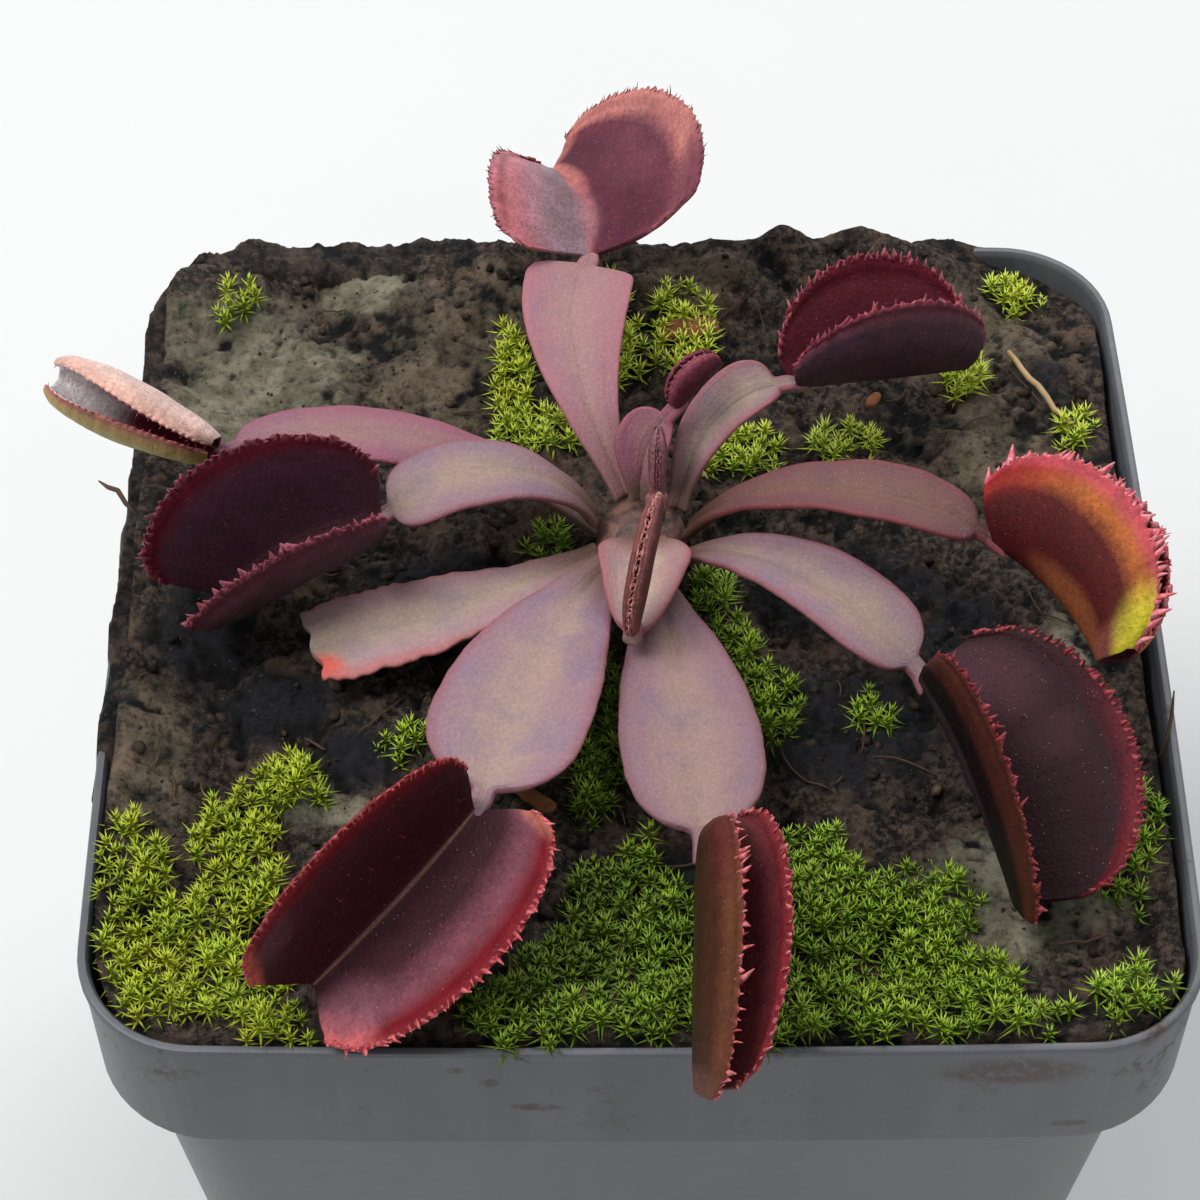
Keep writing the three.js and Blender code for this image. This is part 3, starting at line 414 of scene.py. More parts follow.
for level, half in STEPS_DOWN:
    rim = [e for e in bm.edges if e.is_boundary]
    across = max(v.co.x for e in rim for v in e.verts)
    drawn = bmesh.ops.extrude_edge_only(bm, edges=rim)["geom"]
    lower = [g for g in drawn if isinstance(g, bmesh.types.BMVert)]
    for v in lower:
        v.co.x *= half / across
        v.co.y *= half / across
        v.co.z = level
bmesh.ops.holes_fill(bm, edges=[e for e in bm.edges if e.is_boundary])
bmesh.ops.recalc_face_normals(bm, faces=bm.faces)

peat, tree, skin, place = new_finish("moist_peat", 0.85, 0.35)
marks = node(tree, "VertexColor", layer_name="crusts_damp_and_shade")
parts = node(tree, "SeparateColor", {0: marks.outputs[0]}).outputs
speck = grain(tree, place, 1.5, 7, 0.75)
tone = grain(tree, place, 0.28, 4, 0.6)
dry_parts = between(tree, tone, 0.4, 0.6)
colour = blend(tree, between(tree, speck, 0.42, 0.62), paint(22, 18, 16), paint(112, 95, 80))
reddish = blend(tree, speck, paint(58, 47, 39), paint(150, 122, 102))
colour = blend(tree, between(tree, tone, 0.5, 0.68), colour, reddish)
# Dark damp peat, also used as painted shadow under the leaves; the faint blue in its lighter specks is
# painted reflection of the sky.
wet_and_shaded = blend(tree, speck, paint(14, 13, 15), paint(56, 54, 60))
colour = blend(tree, marks.outputs[1], colour, wet_and_shaded)
brown = blend(tree, dry_parts, blend(tree, speck, paint(48, 42, 34), paint(134, 120, 96)),
              blend(tree, speck, paint(70, 59, 48), paint(178, 156, 130)))
grey = blend(tree, dry_parts, blend(tree, speck, paint(66, 63, 50), paint(158, 154, 126)),
             blend(tree, speck, paint(96, 90, 73), paint(204, 196, 168)))
colour = blend(tree, sums(tree, "MULTIPLY", parts[1], between(tree, speck, 0.3, 0.54)), colour, brown)
colour = blend(tree, sums(tree, "MULTIPLY", parts[0], between(tree, speck, 0.26, 0.5)), colour, grey)
# Painted shade: where the relief is lowest, in the gaps between the crumbs, the peat is painted near black.
colour = blend(tree, between(tree, parts[2], 0.34, 0.02), colour, paint(9, 8, 8))
bits = node(tree, "TexVoronoi", {"Vector": place, "Scale": 1.9}).outputs
in_groups = between(tree, grain(tree, place, 0.5), 0.52, 0.64)
pale = sums(tree, "MULTIPLY", between(tree, bits[0], 0.2, 0.1), in_groups)
colour = blend(tree, sums(tree, "MULTIPLY", pale, 0.7), colour, paint(134, 112, 86))
wear(skin, tree, colour)
shine = between(tree, grain(tree, place, 0.2, 4), 0.5, 0.62)
tree.links.new(node(tree, "MapRange", {0: shine, 3: 0.9, 4: 0.42}).outputs[0], skin.inputs["Roughness"])
fine = roughen(tree, skin, grain(tree, place, 6, 5, 0.75), 0.08)
roughen(tree, skin, speck, 0.42, fine)
set_piece(bm, "peat", [peat], "peat", "soil")

# ---------------------------------------------------------------- spilled peat
# Peat has spilled over the lip on the left and along the back. It is a low lumpy ridge of the
# same peat that hides the lip: a sheet laid along the rim, arched up and closed underneath.
bm = bmesh.new()
SPILL_STEPS, SPILL_ACROSS = (520), 16
SPILL_INSIDE, SPILL_OUTSIDE, SPILL_TOP = 2.4, 0.52, 69.9
PERIMETER = ((-1, -0.42), (-1, 1), (0.8, 1))   # front end, back left corner, right end
side_run = PERIMETER[1][1] - PERIMETER[0][1]
back_run = PERIMETER[2][0] - PERIMETER[1][0]
ridge = bmesh.ops.create_grid(bm, x_segments=SPILL_ACROSS, y_segments=SPILL_STEPS, size=1)["verts"]
for v in ridge:
    gone = (v.co.y + 1) / 2 * (side_run + back_run)
    u, w = (-1, PERIMETER[0][1] + gone) if gone < side_run else (-1 + gone - side_run, 1)
    k = (v.co.x + 1) / 2
    end = min(1, min(gone, side_run + back_run - gone) / 0.14)
    ragged_edge = 0.3 * noise.noise(Vector((u * 9, w * 9, 1)))
    inner = SOIL_HALF - SPILL_INSIDE
    half = inner + k * (LIP_HALF + SPILL_OUTSIDE + ragged_edge - inner)
    x, y = on_square(u, w, half, SOIL_CORNER + (half - SOIL_HALF))
    lumps = 0.35 + 0.9 * noise.fractal(Vector((x, y, 9)) * 0.33, 0.7, 2.1, 5) + 0.35 * crumbly(x, y)
    arch = max(0.0, 1 - abs(2 * k - 1) ** (14 if k > 0.5 else 3))
    z = POT_HEIGHT - 1.6 + (1.75 + max(0.0, lumps)) * arch * rise(end * 1.5)
    v.co = (x, y, min(z, SPILL_TOP))
deep = bmesh.ops.extrude_face_region(bm, geom=list(bm.faces))["geom"]
for v in (g for g in deep if isinstance(g, bmesh.types.BMVert)):
    v.co.z = min(v.co.z, POT_HEIGHT - 1.5) - 0.4
bmesh.ops.recalc_face_normals(bm, faces=bm.faces)
crusts_damp_and_shade = bm.verts.layers.float_color.new("crusts_damp_and_shade")
for v in bm.verts:
    x, y = v.co.x, v.co.y
    # Its relief sets the painted shade in the gaps, and the last value mixes 40 % of the dark damp and
    # shadow colour over the ridge.
    v[crusts_damp_and_shade] = (0.15 * in_patches(GREY_CRUST, x, y), 0.05, 0.36 + 0.4 * crumbly(x, y), 0.4)
set_piece(bm, "spilled_peat", [peat], "peat")

# ---------------------------------------------------------------- loose crumbs, fibres and litter
# What lies loose on the peat: broken crumbs, wiry root fibres, three straws and three chips of
# bark. All of it is dry plant matter that rests where it fell. Two fibres hang over the rim.
chance = random.Random(7)
noise.seed_set(7)       # keeps the unevenness of the chips and the crown the same each run
crumb_finish, tree, skin, place = new_finish("peat_crumbs", 0.85, 0.3)
tone = grain(tree, place, 0.75, 4, 0.7)
shade = blend(tree, between(tree, tone, 0.36, 0.6), paint(20, 17, 15), paint(70, 56, 44))
shade = blend(tree, between(tree, tone, 0.62, 0.72), shade, paint(112, 92, 70))
wear(skin, tree, shade)
roughen(tree, skin, grain(tree, place, 3, 5, 0.75), 0.3)

bm = bmesh.new()
CRUMBS, FIBRES = 1500, 80
for count in range(CRUMBS):
    x, y = chance.uniform(-36, 36), chance.uniform(-36, 36)
    if math.hypot(max(abs(x) - 29, 0), max(abs(y) - 29, 0)) > 6.8:
        continue
    size = 0.15 + 0.55 * chance.random() ** 4
    if size > 0.22 and in_patches(GREY_CRUST, x, y) > 0.25:
        continue
    lump = bmesh.ops.create_icosphere(bm, subdivisions=1, radius=size)["verts"]
    angle, axis = chance.uniform(0, 6.3), Vector((chance.random(), chance.random(), 1)).normalized()
    turn = Matrix.Rotation(angle, 3, axis)
    squat = Vector((chance.uniform(0.7, 1.25), chance.uniform(0.7, 1.0), chance.uniform(0.5, 0.9)))
    drop = Vector((x, y, peat_level(x, y) + 0.8 * crumbly(x, y) + bank(x, y) + 0.1 * size))
    for v in lump:
        v.co = drop + turn @ (v.co * (1 + 0.5 * noise.noise(v.co * 2 / size + drop)) * squat)
set_piece(bm, "peat_crumbs", [crumb_finish], "peat")


def strand(bm, points, thick, sides=5, ends=0.35):
    """A round fibre through `points`, thinner at both ends: a sheet rolled into a tube and closed."""
    last = len(points) - 1
    made = bmesh.ops.create_grid(bm, x_segments=sides, y_segments=last, size=1)["verts"]
    for v in made:
        i, turn = round((v.co.y + 1) / 2 * last), (v.co.x + 1) * math.pi
        along = (points[min(i + 1, last)] - points[max(i - 1, 0)]).normalized()
        side = along.cross(Vector((0.02, 0.01, 1))).normalized()
        radius = thick / 2 * (ends + (1 - ends) * math.sin(math.pi * i / last) ** 0.5)
        v.co = points[i] + (side * math.cos(turn) + side.cross(along) * math.sin(turn)) * radius
    bmesh.ops.remove_doubles(bm, verts=made, dist=thick * 0.001)


def close_up(bm):
    """Closes the open ends of all the strands in a mesh."""
    bmesh.ops.holes_fill(bm, edges=[e for e in bm.edges if e.is_boundary])
    bmesh.ops.recalc_face_normals(bm, faces=bm.faces)


def wander(start, heading, length, bend, lift, steps=8):
    """Points of a fibre that lies on the peat and bends as it goes."""
    points, x, y = [], start[0], start[1]
    for _ in range(steps + 1):
        points.append(Vector((x, y, peat_level(x, y) + 0.6 * crumbly(x, y) + bank(x, y) + lift)))
        x += math.cos(heading) * length / steps
        y += math.sin(heading) * length / steps
        heading += bend / steps
    return points


fibre, tree, skin, place = new_finish("root_fibre", 0.7, 0.3)
wear(skin, tree, blend(tree, grain(tree, place, 0.3, 3), paint(40, 28, 22), paint(98, 74, 54)))
bm = bmesh.new()
for count in range(FIBRES):
    x, y = chance.uniform(-34, 34), chance.uniform(-34, 34)
    length, heading = 1.5 + 4.5 * chance.random() ** 2, chance.uniform(0, 6.3)
    reach = (x + math.cos(heading) * length, y + math.sin(heading) * length)
    if max(map(abs, reach)) < 34:
        points = wander((x, y), heading, length, chance.uniform(-1.5, 1.5), 0.35, 6)
        strand(bm, points, chance.uniform(0.12, 0.26), 4)
RIM_FIBRES = (
    (((-36.8, 8.2, 68.9), (-37.8, 9.2, 69.1), (-38.6, 10.7, 69), (-39.4, 11.2, 68.8),
      (-40.2, 12.1, 68.5)), 0.42),
    (((36.5, -13.4, 67.4), (37.2, -12, 68.4), (37.5, -10.8, 68.9), (37.7, -9.4, 69.9)), 0.3),
)
for points, thick in RIM_FIBRES:
    strand(bm, [Vector(point) for point in points], thick, 6)
close_up(bm)
set_piece(bm, "root_fibres", [fibre], "peat")

straw, tree, skin, place = new_finish("dry_straw", 0.55, 0.4)
wear(skin, tree, blend(tree, grain(tree, place, 0.7, 3), paint(126, 100, 66), paint(196, 168, 122)))
bm = bmesh.new()
STRAWS = (((29.2, 25.6), -1.15, 8.6, 0.25, 1.1, 0.5), ((5.5, 12.5), 2.2, 3.2, 0.4, 1.0, 0.3),
          ((27.5, -8), 1.9, 4.0, 0.7, 0.9, 0.24))
for start, heading, length, bend, lift, thick in STRAWS:
    strand(bm, wander(start, heading, length, bend, lift), thick, 7, 0.7)
close_up(bm)
set_piece(bm, "straws", [straw], "peat")

bark, tree, skin, place = new_finish("bark_chip", 0.75, 0.3)
flakes = grain(tree, place, 1.4, 5, 0.7, (1, 2.5, 1))
wear(skin, tree, blend(tree, flakes, paint(74, 44, 28), paint(158, 98, 58)))
roughen(tree, skin, grain(tree, place, 3, 4, 0.7, (1, 3, 1)), 0.15)
bm = bmesh.new()
CHIPS = ((4.4, 28.1, 2.4, 1.0, 0.45, -0.05), (-7.6, -16.6, 2.6, 0.7, 0.3, -0.8),
         (18.4, 20.3, 0.7, 0.4, 0.25, 1.0))
for cx, cy, along, broad, deep, turn in CHIPS:
    chip = bmesh.ops.create_cube(bm, size=1)["verts"]
    bmesh.ops.subdivide_edges(bm, edges=edges_of(chip), cuts=5, use_grid_fill=True)
    chip = [v for v in bm.verts if not v.tag]
    for v in chip:
        v.tag = True
        flat = Vector((v.co.x * 2 * along, v.co.y * 2 * broad, v.co.z * 2 * deep))
        flat *= 1 - 0.35 * (v.co.length / 0.87) ** 3
        flat += noise.noise_vector(flat * 0.9 + Vector((cx, cy, 0))) * 0.3
        flat.z += 0.12 * along * math.sin(v.co.x * 3)
        v.co = Matrix.Rotation(turn, 3, "Z") @ flat + Vector((cx, cy, peat_level(cx, cy) + 0.75))
set_piece(bm, "bark_chips", [bark], "peat", crease=60)

# ---------------------------------------------------------------- crown
# The short pale bulb that carries every leaf, half sunk in the peat and wrapped by leaf bases.
crown_flesh, tree, skin, place = new_finish("crown_flesh", 0.5, 0.4)
pith = grain(tree, place, 0.8, 4, 0.6, (1, 1, 0.4))
wear(skin, tree, blend(tree, between(tree, pith, 0.35, 0.65), paint(58, 36, 32), paint(106, 76, 66)))
roughen(tree, skin, grain(tree, place, 2.4, 3, 0.6, (1, 1, 0.3)), 0.15)
bm = bmesh.new()
PROFILE = [(0, -5.5), (2.2, -4.8), (3.35, -2.9), (3.35, 1.2), (3.0, 2.2), (2.2, 2.9), (1.2, 3.3), (0, 3.4)]
line = [bm.verts.new(CROWN + Vector((r, 0, z))) for r, z in PROFILE]
edges = [bm.edges.new(pair) for pair in zip(line, line[1:])]
bmesh.ops.spin(bm, geom=line + edges, cent=CROWN, axis=(0, 0, 1), angle=math.tau, steps=40, use_merge=True)
bmesh.ops.remove_doubles(bm, verts=bm.verts, dist=0.001)
bmesh.ops.recalc_face_normals(bm, faces=bm.faces)
for v in bm.verts:
    v.co += noise.noise_vector(v.co * 0.5) * 0.12
set_piece(bm, "crown_bulb", [crown_flesh], "crown_flesh", "crown")

# ---------------------------------------------------------------- leaf stalks
# Each leaf has a flat, winged stalk: narrow at the crown, broad at its shoulders, then a bare
# neck that carries the trap. It grew in one piece, dusty mauve with a khaki midrib.
STALK_THICKNESS = 0.8
NECK_IN_TRAP = 0.9     # how far the neck reaches into the trap
STALK_ROWS, STALK_COLUMNS = 64, 16


def direction(heading, pitch):
    """A unit vector for a compass heading and a rise, in degrees."""
    h, p = math.radians(heading), math.radians(pitch)
    return Vector((math.cos(p) * math.cos(h), math.cos(p) * math.sin(h), math.sin(p)))


def spine(start, length, headings, pitches, roll, places):
    """Places along an arc that turns evenly, each with its forward, side and up directions."""
    def turned(t):
        """The heading and the rise at `t`."""
        return (headings[0] + (headings[1] - headings[0]) * t, pitches[0] + (pitches[1] - pitches[0]) * t)

    frames, point = [], start.copy()
    ends = list(places[1:]) + [places[-1]]
    for t, following in zip(places, ends):
        forward = direction(*turned(t))
        level = direction(turned(t)[0] - 90, 0)
        raised = level.cross(forward)
        c, s = math.cos(math.radians(roll)), math.sin(math.radians(roll))
        frames.append((point.copy(), forward, level * c + raised * s, raised * c - level * s, t))
        for k in (0.25, 0.75):
            point += direction(*turned(t + (following - t) * k)) * length * (following - t) / 2
    return frames


def stalk_width(leaf, t):
    """How broad the stalk is, at `t` from its foot, 0, to the end of its neck, 1."""
    widest, peak, foot, neck = leaf["width"], leaf["peak"], leaf["foot"], leaf["neck"]
    if t < peak:
        return foot + (widest - foot) * math.sin(t / peak * math.pi / 2) ** 1.6
    wing_end = 1 - leaf.get("neck_length", 1.1) / leaf["length"]
    q = min(1, (t - peak) / (wing_end - peak))
    return neck + (widest - neck) * math.sqrt(1 - q ** leaf.get("shoulder", 2.6))


def blade(rows):
    """A sheet of faces pulled onto rows of (point, u, v, thickness share), with its own UV map."""
    bm = bmesh.new()
    skin_map = bm.loops.layers.uv.new("leaf")
    share = bm.verts.layers.deform.verify()
    last, across = len(rows) - 1, len(rows[0]) - 1
    where = {}
    for v in bmesh.ops.create_grid(bm, x_segments=across, y_segments=last, size=1)["verts"]:
        point, u, t, thick = rows[round((v.co.y + 1) / 2 * last)][round((v.co.x + 1) / 2 * across)]
        v.co = point
        v[share][0] = thick
        where[v] = (u, t)
    for face in bm.faces:
        for loop in face.loops:
            loop[skin_map].uv = where[loop.vert]
    return bm


def thicken(piece, thickness, offset, second=0):
    """Gives a blade its thickness, thinner where its group says, and rounds its edges."""
    piece.vertex_groups.new(name="thickness")
    wall = piece.modifiers.new("thickness", "SOLIDIFY")
    wall.thickness, wall.offset = thickness * MM, offset
    wall.vertex_group, wall.thickness_vertex_group = "thickness", 0.0
    wall.material_offset = second
    soft = piece.modifiers.new("rounding", "SUBSURF")
    soft.levels = soft.render_levels = 1


def stalk_start(leaf):
    """Where the stalk leaves the crown: from its side, or at a given spot near its top."""
    if "start" in leaf:
        return CROWN + Vector(leaf["start"])
    around = math.radians(leaf["around"])
    reach = CROWN_RADIUS + 0.35
    return CROWN + Vector((reach * math.cos(around), reach * math.sin(around), leaf["root"]))


def trap_start(leaf):
    """Where the midrib of the trap begins, a little beyond the end of the neck."""
    trap = leaf["trap"]
    places = [i / 40 for i in range(41)]
    tip = spine(stalk_start(leaf), leaf["length"], leaf["headings"], leaf["pitches"], 0, places)[-1]
    return tip[0] + direction(trap["headings"][0], trap["pitches"][0]) * trap.get("gap", 0.55)


def stalk_rows(leaf):
    """Rows across the stalk, from its foot inside the crown to the end of its neck inside the trap."""
    places = [1 - (1 - i / STALK_ROWS) ** 1.25 for i in range(STALK_ROWS + 1)]
    frames = spine(stalk_start(leaf), leaf["length"], leaf["headings"], leaf["pitches"], 0, places)
    channel, seed = math.radians(leaf["channel"]), leaf["length"] * 7
    foot = frames[0]
    stations = [(foot[0] - foot[1] * 0.7, *foot[1:])] + frames
    if "trap" in leaf:
        trap = leaf["trap"]
        into = trap_start(leaf) + direction(trap["headings"][0], trap["pitches"][0]) * NECK_IN_TRAP
        tip = frames[-1]
        for k in (0.4, 1.0):
            stations.append((tip[0].lerp(into, k) - tip[3] * 0.25 * k, *tip[1:]))
    rows = []
    for point, forward, side, up, t in stations:
        half = stalk_width(leaf, t) / 2
        row = []
        for j in range(STALK_COLUMNS + 1):
            q = -1 + 2 * j / STALK_COLUMNS
            q = math.copysign(abs(q) ** 0.85, q)
            wave = noise.noise(Vector((t * leaf["length"] * 0.35, q * 0.9, seed)))
            torn = noise.noise(Vector((t * leaf["length"] * 1.5, q, seed + 4)))
            edge = 1 + leaf.get("fray", 0.018) * torn * abs(q)
            groove = -0.22 * math.exp(-(q * half / 0.42) ** 2)
            ragged = 0
            if "ragged" in leaf:
                end = rise((t - 0.9) / 0.1)
                bitten = 0.7 * noise.noise(Vector((q * 3.1, 2, seed)))
                ragged = end * (leaf["ragged"] * math.cos(q * 7) + bitten)
            lift = half * abs(q) ** 1.4 * math.sin(channel)
            lift += 0.32 * wave * q * q * min(1, half / 2) + groove
            place = point + side * half * q * edge * math.cos(channel) + forward * ragged + up * lift
            row.append((place, q * 0.5 + 0.5, t, 1 - 0.55 * abs(q) ** 2.5))
        rows.append(row)
    return rows


def patches_on(tree, colour, across, along, patches):
    """Soft oval patches, each: side, place out and along, reach out and along, colour, strength."""
    for side, out, t, reach_out, reach_t, tint, strength in patches:
        u = sums(tree, "DIVIDE", sums(tree, "SUBTRACT", across, side * out), reach_out)
        v = sums(tree, "DIVIDE", sums(tree, "SUBTRACT", along, t), reach_t)
        far = sums(tree, "ADD", sums(tree, "MULTIPLY", u, u), sums(tree, "MULTIPLY", v, v))
        cover = sums(tree, "MULTIPLY", between(tree, far, 1.05, 0.0), strength)
        colour = blend(tree, cover, colour, paint(*tint))
    return colour


def stalk_finish(name, wing, edge, midrib, foot, patches=()):
    """Colours of the wings, their edge, the midrib and the foot, and any patches."""
    finish, tree, skin, place = new_finish(name, 0.52, 0.4)
    on_leaf = node(tree, "UVMap", uv_map="leaf").outputs[0]
    where = node(tree, "SeparateXYZ", {0: on_leaf}).outputs
    across = sums(tree, "MULTIPLY", sums(tree, "SUBTRACT", where[0], 0.5), 2.0)
    out = sums(tree, "ABSOLUTE", across)
    cloud = grain(tree, place, 0.38, 4, 0.6)
    fine = grain(tree, place, 3.4, 4, 0.7)
    spread = sums(tree, "ADD", sums(tree, "MULTIPLY", where[1], 0.3), 0.3)
    clouded = sums(tree, "ADD", out, sums(tree, "MULTIPLY", sums(tree, "SUBTRACT", cloud, 0.5), 0.7))
    away = sums(tree, "DIVIDE", clouded, spread)
    colour = blend(tree, between(tree, away, 1.7, 0.2), paint(*wing), paint(*midrib))
    bluish = between(tree, grain(tree, place, 0.24, 3, 0.6), 0.48, 0.66)
    cool = paint(wing[0] * 0.84, wing[1] * 0.94, wing[2] * 1.04)
    colour = blend(tree, sums(tree, "MULTIPLY", bluish, 0.4), colour, cool)
    colour = blend(tree, between(tree, out, 0.8, 0.99), colour, paint(*edge))
    colour = blend(tree, between(tree, where[1], 0.34, 0.02), colour, paint(*foot))
    colour = patches_on(tree, colour, across, where[1], patches)
    dim = blend(tree, 0.2, colour, paint(50, 34, 38))
    colour = blend(tree, between(tree, fine, 0.36, 0.68), dim, colour)
    # Painted glints: small near-white dots in scattered groups stand in for sparkles of light on the stalk.
    glint_cells = node(tree, "TexVoronoi", {"Vector": place, "Scale": 4.6}).outputs[0]
    groups = between(tree, grain(tree, place, 1.3), 0.48, 0.6)
    painted_glints = sums(tree, "MULTIPLY", between(tree, glint_cells, 0.17, 0.08), groups)
    colour = blend(tree, sums(tree, "MULTIPLY", painted_glints, 0.55), colour, paint(214, 200, 200))
    wear(skin, tree, colour)
    lines = node(tree, "Mapping", {0: on_leaf, 3: (16, 1.2, 1)}).outputs[0]
    veins = node(tree, "TexNoise", {"Vector": lines, "Scale": 1.0, "Detail": 3.0}).outputs[0]
    under = roughen(tree, skin, veins, 0.1)
    roughen(tree, skin, grain(tree, place, 4.5, 4, 0.75), 0.1, under)
    return finish


EDGE, RIB, FOOT = (142, 92, 102), (162, 134, 126), (112, 82, 70)
stalk_mauve = stalk_finish("stalk_mauve", (148, 114, 126), EDGE, RIB, FOOT)
stalk_front = stalk_finish("stalk_front_mauve", (138, 104, 114), (128, 86, 94), (154, 124, 116), FOOT)
stalk_pink = stalk_finish("stalk_dusty_pink", (160, 108, 116), (168, 104, 112), (162, 122, 120),
                          (134, 94, 90))
stalk_torn = stalk_finish("stalk_torn", (168, 132, 136), (176, 112, 114), (174, 151, 136), FOOT,
                          [(-1, 0.75, 1.0, 0.6, 0.1, (224, 92, 76), 0.95),
                           (-1, 1, 0.8, 0.35, 0.35, (182, 104, 100), 0.6)])
stalk_plum = stalk_finish("stalk_plum", (148, 114, 116), (148, 88, 96), (166, 146, 130), (112, 84, 74))
stalk_young = stalk_finish("stalk_young_plum", (166, 126, 124), (160, 96, 102), (180, 156, 138),
                           (124, 92, 80))
stalk_bluish = stalk_finish("stalk_bluish_mauve", (142, 110, 120), (136, 82, 90), (156, 130, 118), FOOT)
stalk_right = stalk_finish("stalk_reddish_mauve", (108, 64, 67), (116, 52, 54), (117, 80, 69), (92, 60, 48))
stalk_rosy = stalk_finish("stalk_rosy_mauve", (146, 88, 106), (146, 80, 94), (150, 110, 110),
                          (108, 84, 68))

# Each leaf: the side of the crown it leaves from and how high, its length, its headings and rises
# at its two ends, its greatest width and where that is. Its trap gives the same for the midrib,
# the degrees left off its outline at both ends (cuts), and each lobe's opening, curl, size, slant.
LEAVES = [
    dict(name="back", around=112, root=2.6, length=21.6, headings=(123, 73), pitches=(40.5, -16),
         width=8.4, peak=0.84, foot=2, neck=1.6, channel=8, skin=stalk_pink,
         trap=dict(teeth=34, length=12.3, depth=9.3, headings=(88, 121), pitches=(18, -30), roll=5,
                   flare=0, cuts=(42, 22), taper=0.5, tooth_rise=0.2, left=(53, -12, 0.95, -1.3),
                   right=(68, -27, 1.15, 0.7))),
    dict(name="left", around=172, root=3, length=17.7, headings=(181.5, 202), pitches=(65, -36),
         width=6.8, peak=0.72, foot=2, neck=1.5, neck_length=0.5, shoulder=3.6, channel=6,
         skin=stalk_bluish,
         trap=dict(teeth=38, tooth_scale=1.5, length=13.8, depth=11.7, headings=(184, 203),
                   pitches=(-10, -39), roll=19, flare=0.12, left=(72, -91, 1, 0),
                   right=(29, -24, 1, 0))),
    dict(name="far_left", around=158, root=0.9, length=28.9, headings=(158, 200.5), pitches=(36, -3),
         width=5.6, peak=0.72, foot=1.8, neck=1.5, channel=2, skin=stalk_rosy,
         trap=dict(teeth=24, gape=10, length=12.7, depth=8.2, headings=(149, 172), pitches=(2, 26),
                   roll=42, flare=0.12, gap=0.75, tooth_rise=1.5, tooth_scale=0.8, left=(45, -86, 1, 0),
                   right=(48, -88, 1, 0))),
    dict(name="torn", around=205, root=1, length=22.8, headings=(221, 193), pitches=(13, -5), width=7.4,
         peak=0.8, foot=2, neck=6.4, channel=6, neck_length=0, ragged=0.22, fray=0.1, skin=stalk_torn),
    dict(name="front_left", around=240, root=2.6, length=26.5, headings=(243.5, 254.5),
         pitches=(19.5, -6.5), width=11.2, peak=0.74, foot=2.2, neck=1.6, channel=10, skin=stalk_mauve,
         trap=dict(teeth=30, length=15.9, depth=9.9, headings=(234.5, 217), pitches=(-8, -25.5),
                   roll=27, flare=0.2, cuts=(28, 32), tooth_scale=0.8, left=(53, -13, 1, 0),
                   right=(44.5, -19.5, 1, 1))),
    dict(name="front", around=278, root=1.6, length=26.8, headings=(280, 274.5), pitches=(17, -6.5),
         width=10, peak=0.72, foot=2.2, neck=1.6, channel=8, skin=stalk_front,
         trap=dict(teeth=25, length=16.9, depth=9.3, headings=(268.5, 267.5), pitches=(-2, -14),
                   roll=18, flare=0.12, left=(22, -10, 1, 0), right=(28, -49, 1, 1))),
    dict(name="front_right", around=318, root=1.2, length=23.8, headings=(321, 320),
         pitches=(54.5, -34.5), width=6.8, peak=0.74, foot=1.8, neck=1.6, channel=12, skin=stalk_bluish,
         trap=dict(teeth=42, tooth_scale=1.3, length=17.5, depth=10.9, headings=(295, 283),
                   pitches=(-10, -14.5), roll=17, flare=0.12, left=(55, -7, 1, 0),
                   right=(27, -8, 1, 2.2))),
    dict(name="right", around=350, root=2.8, length=24.9, headings=(338, 347), pitches=(61.5, -29),
         width=5.6, peak=0.7, foot=1.8, neck=1.4, channel=16, skin=stalk_right,
         trap=dict(teeth=24, length=12.2, depth=8.8, headings=(316, 286), pitches=(1, -4), roll=44,
                   flare=0.3, cuts=(24, 20), gap=0.95, tooth_rise=1.2, left=(36, -60, 1, -1),
                   right=(36, -60, 1, -1))),
    dict(name="back_right", around=40, root=2.4, length=12.9, headings=(74, 13.5), pitches=(46.5, -3),
         width=5.6, peak=0.7, foot=1.8, neck=1.5, channel=32, skin=stalk_plum,
         trap=dict(teeth=22, length=14.2, depth=9, headings=(22.5, 16.5), pitches=(-15.5, -7.5),
                   roll=10, flare=0.12, cuts=(14, 18), left=(35, -19, 1, -0.6),
                   right=(38, -34, 1, -0.3))),
]
